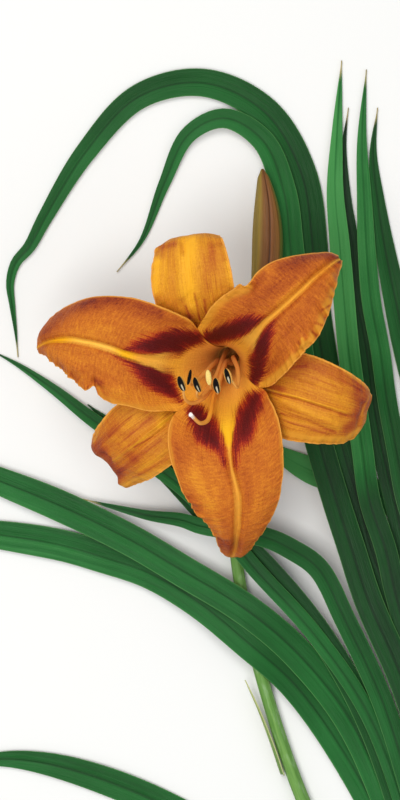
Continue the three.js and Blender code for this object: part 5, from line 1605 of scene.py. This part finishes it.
def bud_look():
    look = Look("bud", roughness=0.5, specular=0.35)
    turn, along, seed = look.fields("turn", "along", "seed")
    streak = look.round_pattern(4, 0.02, start=seed)
    fine = look.round_pattern(13, 0.06, start=seed)
    bands = look.ramp(look.add(turn, (streak, 0.012)), BUD_BANDS)
    shades = look.ramp(look.add((streak, 0.9), (fine, 0.5), 0.5), BUD_TONES)
    colour = look.mix(0.55, bands, shades, "OVERLAY")
    foot = look.step(look.add(along, (streak, 0.12)), 0.02, 0.3, 0.8, 0)
    colour = look.mix(foot, colour, BUD_FOOT)
    return look.finish(colour, look.add(streak, (fine, 0.7)), 0.5)


# ---------------------------------------------------------------- crown
def build_crown(look):
    top, bottom, middle, lift = (CROWN[key] for key in ("top", "bottom", "middle", "lift"))
    count, sides = FINENESS["crown"]
    t, turn = np.meshgrid(stations(count, 0.04), circle(sides), indexing="ij")
    place = np.linspace(0, 1, len(CROWN_OUTLINE))
    wide, high = (np.interp(t, place, part) for part in zip(*CROWN_OUTLINE))
    fibre = wave(turn * 10, (3.1, 1.7, 0.83), 3)
    fibre = fibre + 0.6 * wave(turn * 24 + 3 * t, (2.3, 1.1), 4)
    scars = smoothstep(wave(t * 28 + 0.5 * np.sin(3 * turn), (3.4, 2.2), 5), 0.1, 0.9)
    rough = 1 - 0.028 * np.abs(fibre) - 0.018 * scars
    ends = round_ends(t, 0.05)
    x = CROWN["halfWidth"] * wide * np.cos(turn) * rough * (0.6 + 0.4 * ends)
    z = lift + CROWN["halfHeight"] * high * np.sin(turn) * rough * (0.75 + 0.25 * ends)
    cut = wave(turn * 7, (2.7, 1.3), 8) * smoothstep(t, 0.9, 1) * 0.5
    y = top + (bottom - top) * t + np.abs(cut)
    y[-1] += 0.4
    grid = np.stack([middle + x, y, np.maximum(0, z)], axis=2)
    fields = {
        "along": capped(t, 0, 1),
        "wide": capped(x),
        "high": capped(z, lift, lift),
        "scar": capped(scars),
    }
    vertices = ring_points(grid, [middle, top, lift], [middle, bottom + 1, lift])
    body("crown", vertices, ring_faces(*t.shape), fields, look)


def crown_look():
    look = Look("crown", roughness=0.8, specular=0.25)
    wide, high, along, scar = look.fields("wide", "high", "along", "scar")
    fibre = look.pattern((wide, 1.1), (high, 1.1), (along, 2.5), detail=4, roughness=0.65)
    fine = look.pattern((wide, 4), (high, 4), (along, 14), detail=3)
    blot = look.pattern((wide, 0.12), (high, 0.2), (along, 4), detail=3)
    tone = look.add(
        0.55, (fibre, 0.8), (fine, 0.35), (blot, 0.5), (scar, -0.1), (along, -0.08))
    neck = look.step(look.add(along, (fibre, 0.4)), 0, 0.6, 0.8, 0)
    colour = look.mix(neck, look.ramp(tone, CROWN_TONES), CROWN_NECK)
    return look.finish(colour, look.add(fibre, (fine, 0.6)), 0.7)


# ---------------------------------------------------------------- camera, light and floor
# Places and sizes of this section are in metres, in the frame. The sensor and the lens are
# in millimetres.
CAMERA_HEIGHT = 1.06
SENSOR = 36
LENS = 107.14
NEAR_LIMIT = 0.01
FLOOR_HALF = 3.0
FLOOR_DROP = 0.0004
FLOOR_COLOUR = (0.8, 0.8, 0.79, 1)
SKY_COLOUR = (0.95, 0.98, 1, 1)
SKY_STRENGTH = 0.4
# where each lamp is and what it aims at, its size, power and colour
LAMPS = {
    "key": ((-0.5, 1.0, 1.6), (0, 0.05, 0), 1.0, 16, (1, 0.98, 0.95)),
    "fill": ((1.1, -0.6, 1.4), (0, 0, 0), 1.4, 5, (0.95, 0.98, 1)),
    "facing": ((-0.33, -0.23, 1.5), (-0.023, 0.116, 0.03), 0.7, 12, (1, 0.99, 0.97)),
}


def look_down():
    """The camera above the flower, with the picture's top towards the leaf tips."""
    data = bpy.data.cameras.new("camera")
    data.sensor_width = SENSOR
    data.lens = LENS
    data.clip_start = NEAR_LIMIT
    camera = place_object("camera", data)
    camera.location = (-ORIGIN[0] * MM, -ORIGIN[1] * MM, CAMERA_HEIGHT)
    bpy.context.scene.camera = camera


def lamp(name, place, aim, size, power, colour):
    data = bpy.data.lights.new(name, "AREA")
    data.size = size
    data.energy = power
    data.color = colour
    made = place_object(name, data)
    made.location = place
    made.rotation_euler = (Vector(aim) - Vector(place)).to_track_quat("-Z", "Y").to_euler()


def set_stage():
    half = FLOOR_HALF
    corners = [(-half, -half, 0), (half, -half, 0), (half, half, 0), (-half, half, 0)]
    mesh = bpy.data.meshes.new("floor")
    mesh.from_pydata(corners, [], [(0, 1, 2, 3)])
    mesh.materials.append(Look("floor", roughness=0.9, specular=0.1).finish(FLOOR_COLOUR))
    floor = place_object("floor", mesh)
    floor.location.z = -FLOOR_DROP
    world = bpy.data.worlds.new("world")
    world.use_nodes = True
    sky = world.node_tree.nodes["Background"]
    sky.inputs["Color"].default_value = SKY_COLOUR
    sky.inputs["Strength"].default_value = SKY_STRENGTH
    bpy.context.scene.world = world
    for name, settings in LAMPS.items():
        lamp(name, *settings)
    bpy.context.scene.view_settings.view_transform = "Standard"


# ---------------------------------------------------------------- the plant
look_down()
set_stage()

tepal_looks = {"petal": petal_look(), "sepal": sepal_look()}
for name in TEPALS:
    build_tepal(name, tepal_looks[name.split("_")[0]])
thread, sac = filament_look(), anther_look()
for number, stamen in enumerate(STAMENS, 1):
    build_filament(number, stamen, thread)
    build_anther(number, stamen, sac)
build_pistil(pistil_look())
build_tube(tube_look())

blade = leaf_look()
for number, (name, leaf) in enumerate(LEAVES.items(), 1):
    build_leaf(name, leaf, number, blade)
green = stalk_look()
build_stalk("scape", SCAPE["route"], SCAPE["radii"], green, FINENESS["scape"])
for name, stalk in STALKS.items():
    route = [*stalk["route"], stalk["inside"]]
    build_stalk(name, route, stalk["radii"], green, FINENESS["stalk"])
scale = bract_look()
for name, bract in BRACTS.items():
    build_bract(name, bract, scale)
bud_skin = bud_look()
for number, (name, bud) in enumerate(BUDS.items(), 1):
    build_bud(name, bud, bud_skin, number)
build_crown(crown_look())
